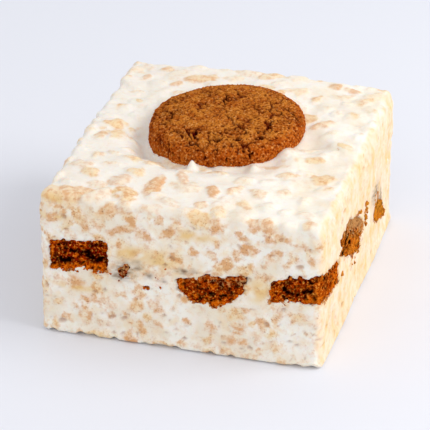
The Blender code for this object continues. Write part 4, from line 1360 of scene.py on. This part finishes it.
def loose_crumbs(look, material):
    """Small crumbs of the cut cookies, half sunk in the sides of the block."""
    block = bpy.data.objects["marshmallow_block"].data
    tree = BVHTree.FromPolygons([vertex.co / MM for vertex in block.vertices],
                                [polygon.vertices for polygon in block.polygons])
    rng = random.Random(look.seed)
    right = 0.5 * WIDTH - 4.0
    outside = 60.0
    places = []
    turns = []
    sizes = []
    for out, along, up, reach_along, reach_up, count in CRUMB_SPOTS:
        out = Vector(out)
        across = Vector((abs(out.y), abs(out.x), 0.0))
        for _ in range(count):
            spot = across * rng.gauss(along, 0.6 * reach_along)
            spot.z = rng.gauss(up, 0.6 * reach_up)
            place, _, _, _ = tree.ray_cast(spot + out * outside, -out)
            size = look.crumb_size * rng.uniform(0.45, 1.0) * (1.5 if out.x > 0.5 else 1.0)
            places.append(place)
            turns.append([rng.uniform(-math.pi, math.pi) for _ in range(3)])
            sizes.append((size, size * rng.uniform(0.5, 0.9), size * rng.uniform(0.5, 0.9)))
    item = points_object("cookie_crumbs", places, turns, sizes,
                         edge=[rng.uniform(0.3, 1.0) for _ in places],
                         warm=[rng.random() for _ in places],
                         gold=[1.0 if place.x > right else 0.3 * rng.random() for place in places],
                         low=[0.3 * rng.random() ** 3 for _ in places])
    run_tree(item, scatter_tree("Crumbs", material),
             {"Wrinkle": 0.5 * look.crumb_size, "Wrinkle size": look.crumb_size, "Segments": 8, "Rings": 6})
    return item


class TREAT_OT_slices(bpy.types.Operator):
    """Make the cookie pieces that were cut through, and their loose crumbs"""
    bl_idname = "treat.make_slices"
    bl_label = "Cut cookie pieces"

    def execute(self, context):
        look = context.scene.treat_cookie
        material = crumb_material(look)
        for number, name in enumerate(SLICES):
            finish_piece(crumb_piece(name, look, float(number)), material, "cookie_crumb", name)
        finish_piece(loose_crumbs(look, material), material, "cookie_crumb")
        return {"FINISHED"}


class TREAT_OT_stage(bpy.types.Operator):
    """Set up the floor, the lights and the camera"""
    bl_idname = "treat.make_stage"
    bl_label = "Floor, lights and camera"

    def execute(self, context):
        look = context.scene.treat_stage
        self.make_floor(look)
        self.make_camera(context.scene, look)
        self.make_light("key", KEY_LAMP, look.key)
        self.make_light("fill", FILL_LAMP, look.fill)
        world = bpy.data.worlds.new("studio")
        world.use_nodes = True
        background = world.node_tree.nodes["Background"]
        background.inputs["Color"].default_value = SKY
        background.inputs["Strength"].default_value = look.ambient
        context.scene.world = world
        context.scene.view_settings.view_transform = "Standard"
        return {"FINISHED"}

    @staticmethod
    def make_floor(look):
        bpy.ops.mesh.primitive_plane_add(size=FLOOR_SIZE)
        floor = bpy.context.object
        floor.name = "floor"
        floor.data.materials.append(paper_material(look))

    @staticmethod
    def make_camera(scene, look):
        level = math.cos(look.elevation)
        back = Vector((math.sin(look.azimuth) * level, -math.cos(look.azimuth) * level,
                       math.sin(look.elevation)))
        data = bpy.data.cameras.new("camera")
        data.sensor_width = 36.0
        data.lens = look.focal
        data.clip_start = 0.01
        data.clip_end = 20.0
        camera = bpy.data.objects.new("camera", data)
        camera.location = AIM * MM + back * look.distance
        camera.rotation_euler = (-back).to_track_quat("-Z", "Y").to_euler()
        scene.collection.objects.link(camera)
        scene.camera = camera

    @staticmethod
    def make_light(name, lamp, power):
        data = bpy.data.lights.new(name, "AREA")
        data.shape = "DISK"
        data.size = lamp.size
        data.energy = power
        data.color = lamp.tint
        light = bpy.data.objects.new(name, data)
        light.location = lamp.place
        light.rotation_euler = (-Vector(lamp.place)).to_track_quat("-Z", "Y").to_euler()
        bpy.context.scene.collection.objects.link(light)


class TREAT_PT_panel(bpy.types.Panel):
    """Lists what can be made, with its sizes and colours"""
    bl_label = "Puffed rice treat"
    bl_idname = "TREAT_PT_panel"
    bl_space_type = "VIEW_3D"
    bl_region_type = "UI"
    bl_category = "Treat"

    def draw(self, context):
        groups = ((context.scene.treat_stage, STAGE_STEPS), (context.scene.treat_block, BLOCK_STEPS),
                  (context.scene.treat_cookie, COOKIE_STEPS))
        for settings, steps in groups:
            box = self.layout.box()
            for step in steps:
                box.operator(step.bl_idname)
            for name in settings.__annotations__:
                box.prop(settings, name)


STAGE_STEPS = (TREAT_OT_stage,)
BLOCK_STEPS = (TREAT_OT_block,)
COOKIE_STEPS = (TREAT_OT_top_cookie, TREAT_OT_slices)
CLASSES = (BlockSettings, CookieSettings, StageSettings) + STAGE_STEPS + BLOCK_STEPS + COOKIE_STEPS + (
    TREAT_PT_panel,)


def register():
    for item in CLASSES:
        bpy.utils.register_class(item)
    bpy.types.Scene.treat_block = PointerProperty(type=BlockSettings)
    bpy.types.Scene.treat_cookie = PointerProperty(type=CookieSettings)
    bpy.types.Scene.treat_stage = PointerProperty(type=StageSettings)


def unregister():
    del bpy.types.Scene.treat_stage
    del bpy.types.Scene.treat_cookie
    del bpy.types.Scene.treat_block
    for item in reversed(CLASSES):
        bpy.utils.unregister_class(item)


def main():
    register()
    bpy.ops.treat.make_stage()
    bpy.ops.treat.make_block()
    bpy.ops.treat.make_top_cookie()
    bpy.ops.treat.make_slices()


if __name__ == "__main__":
    main()
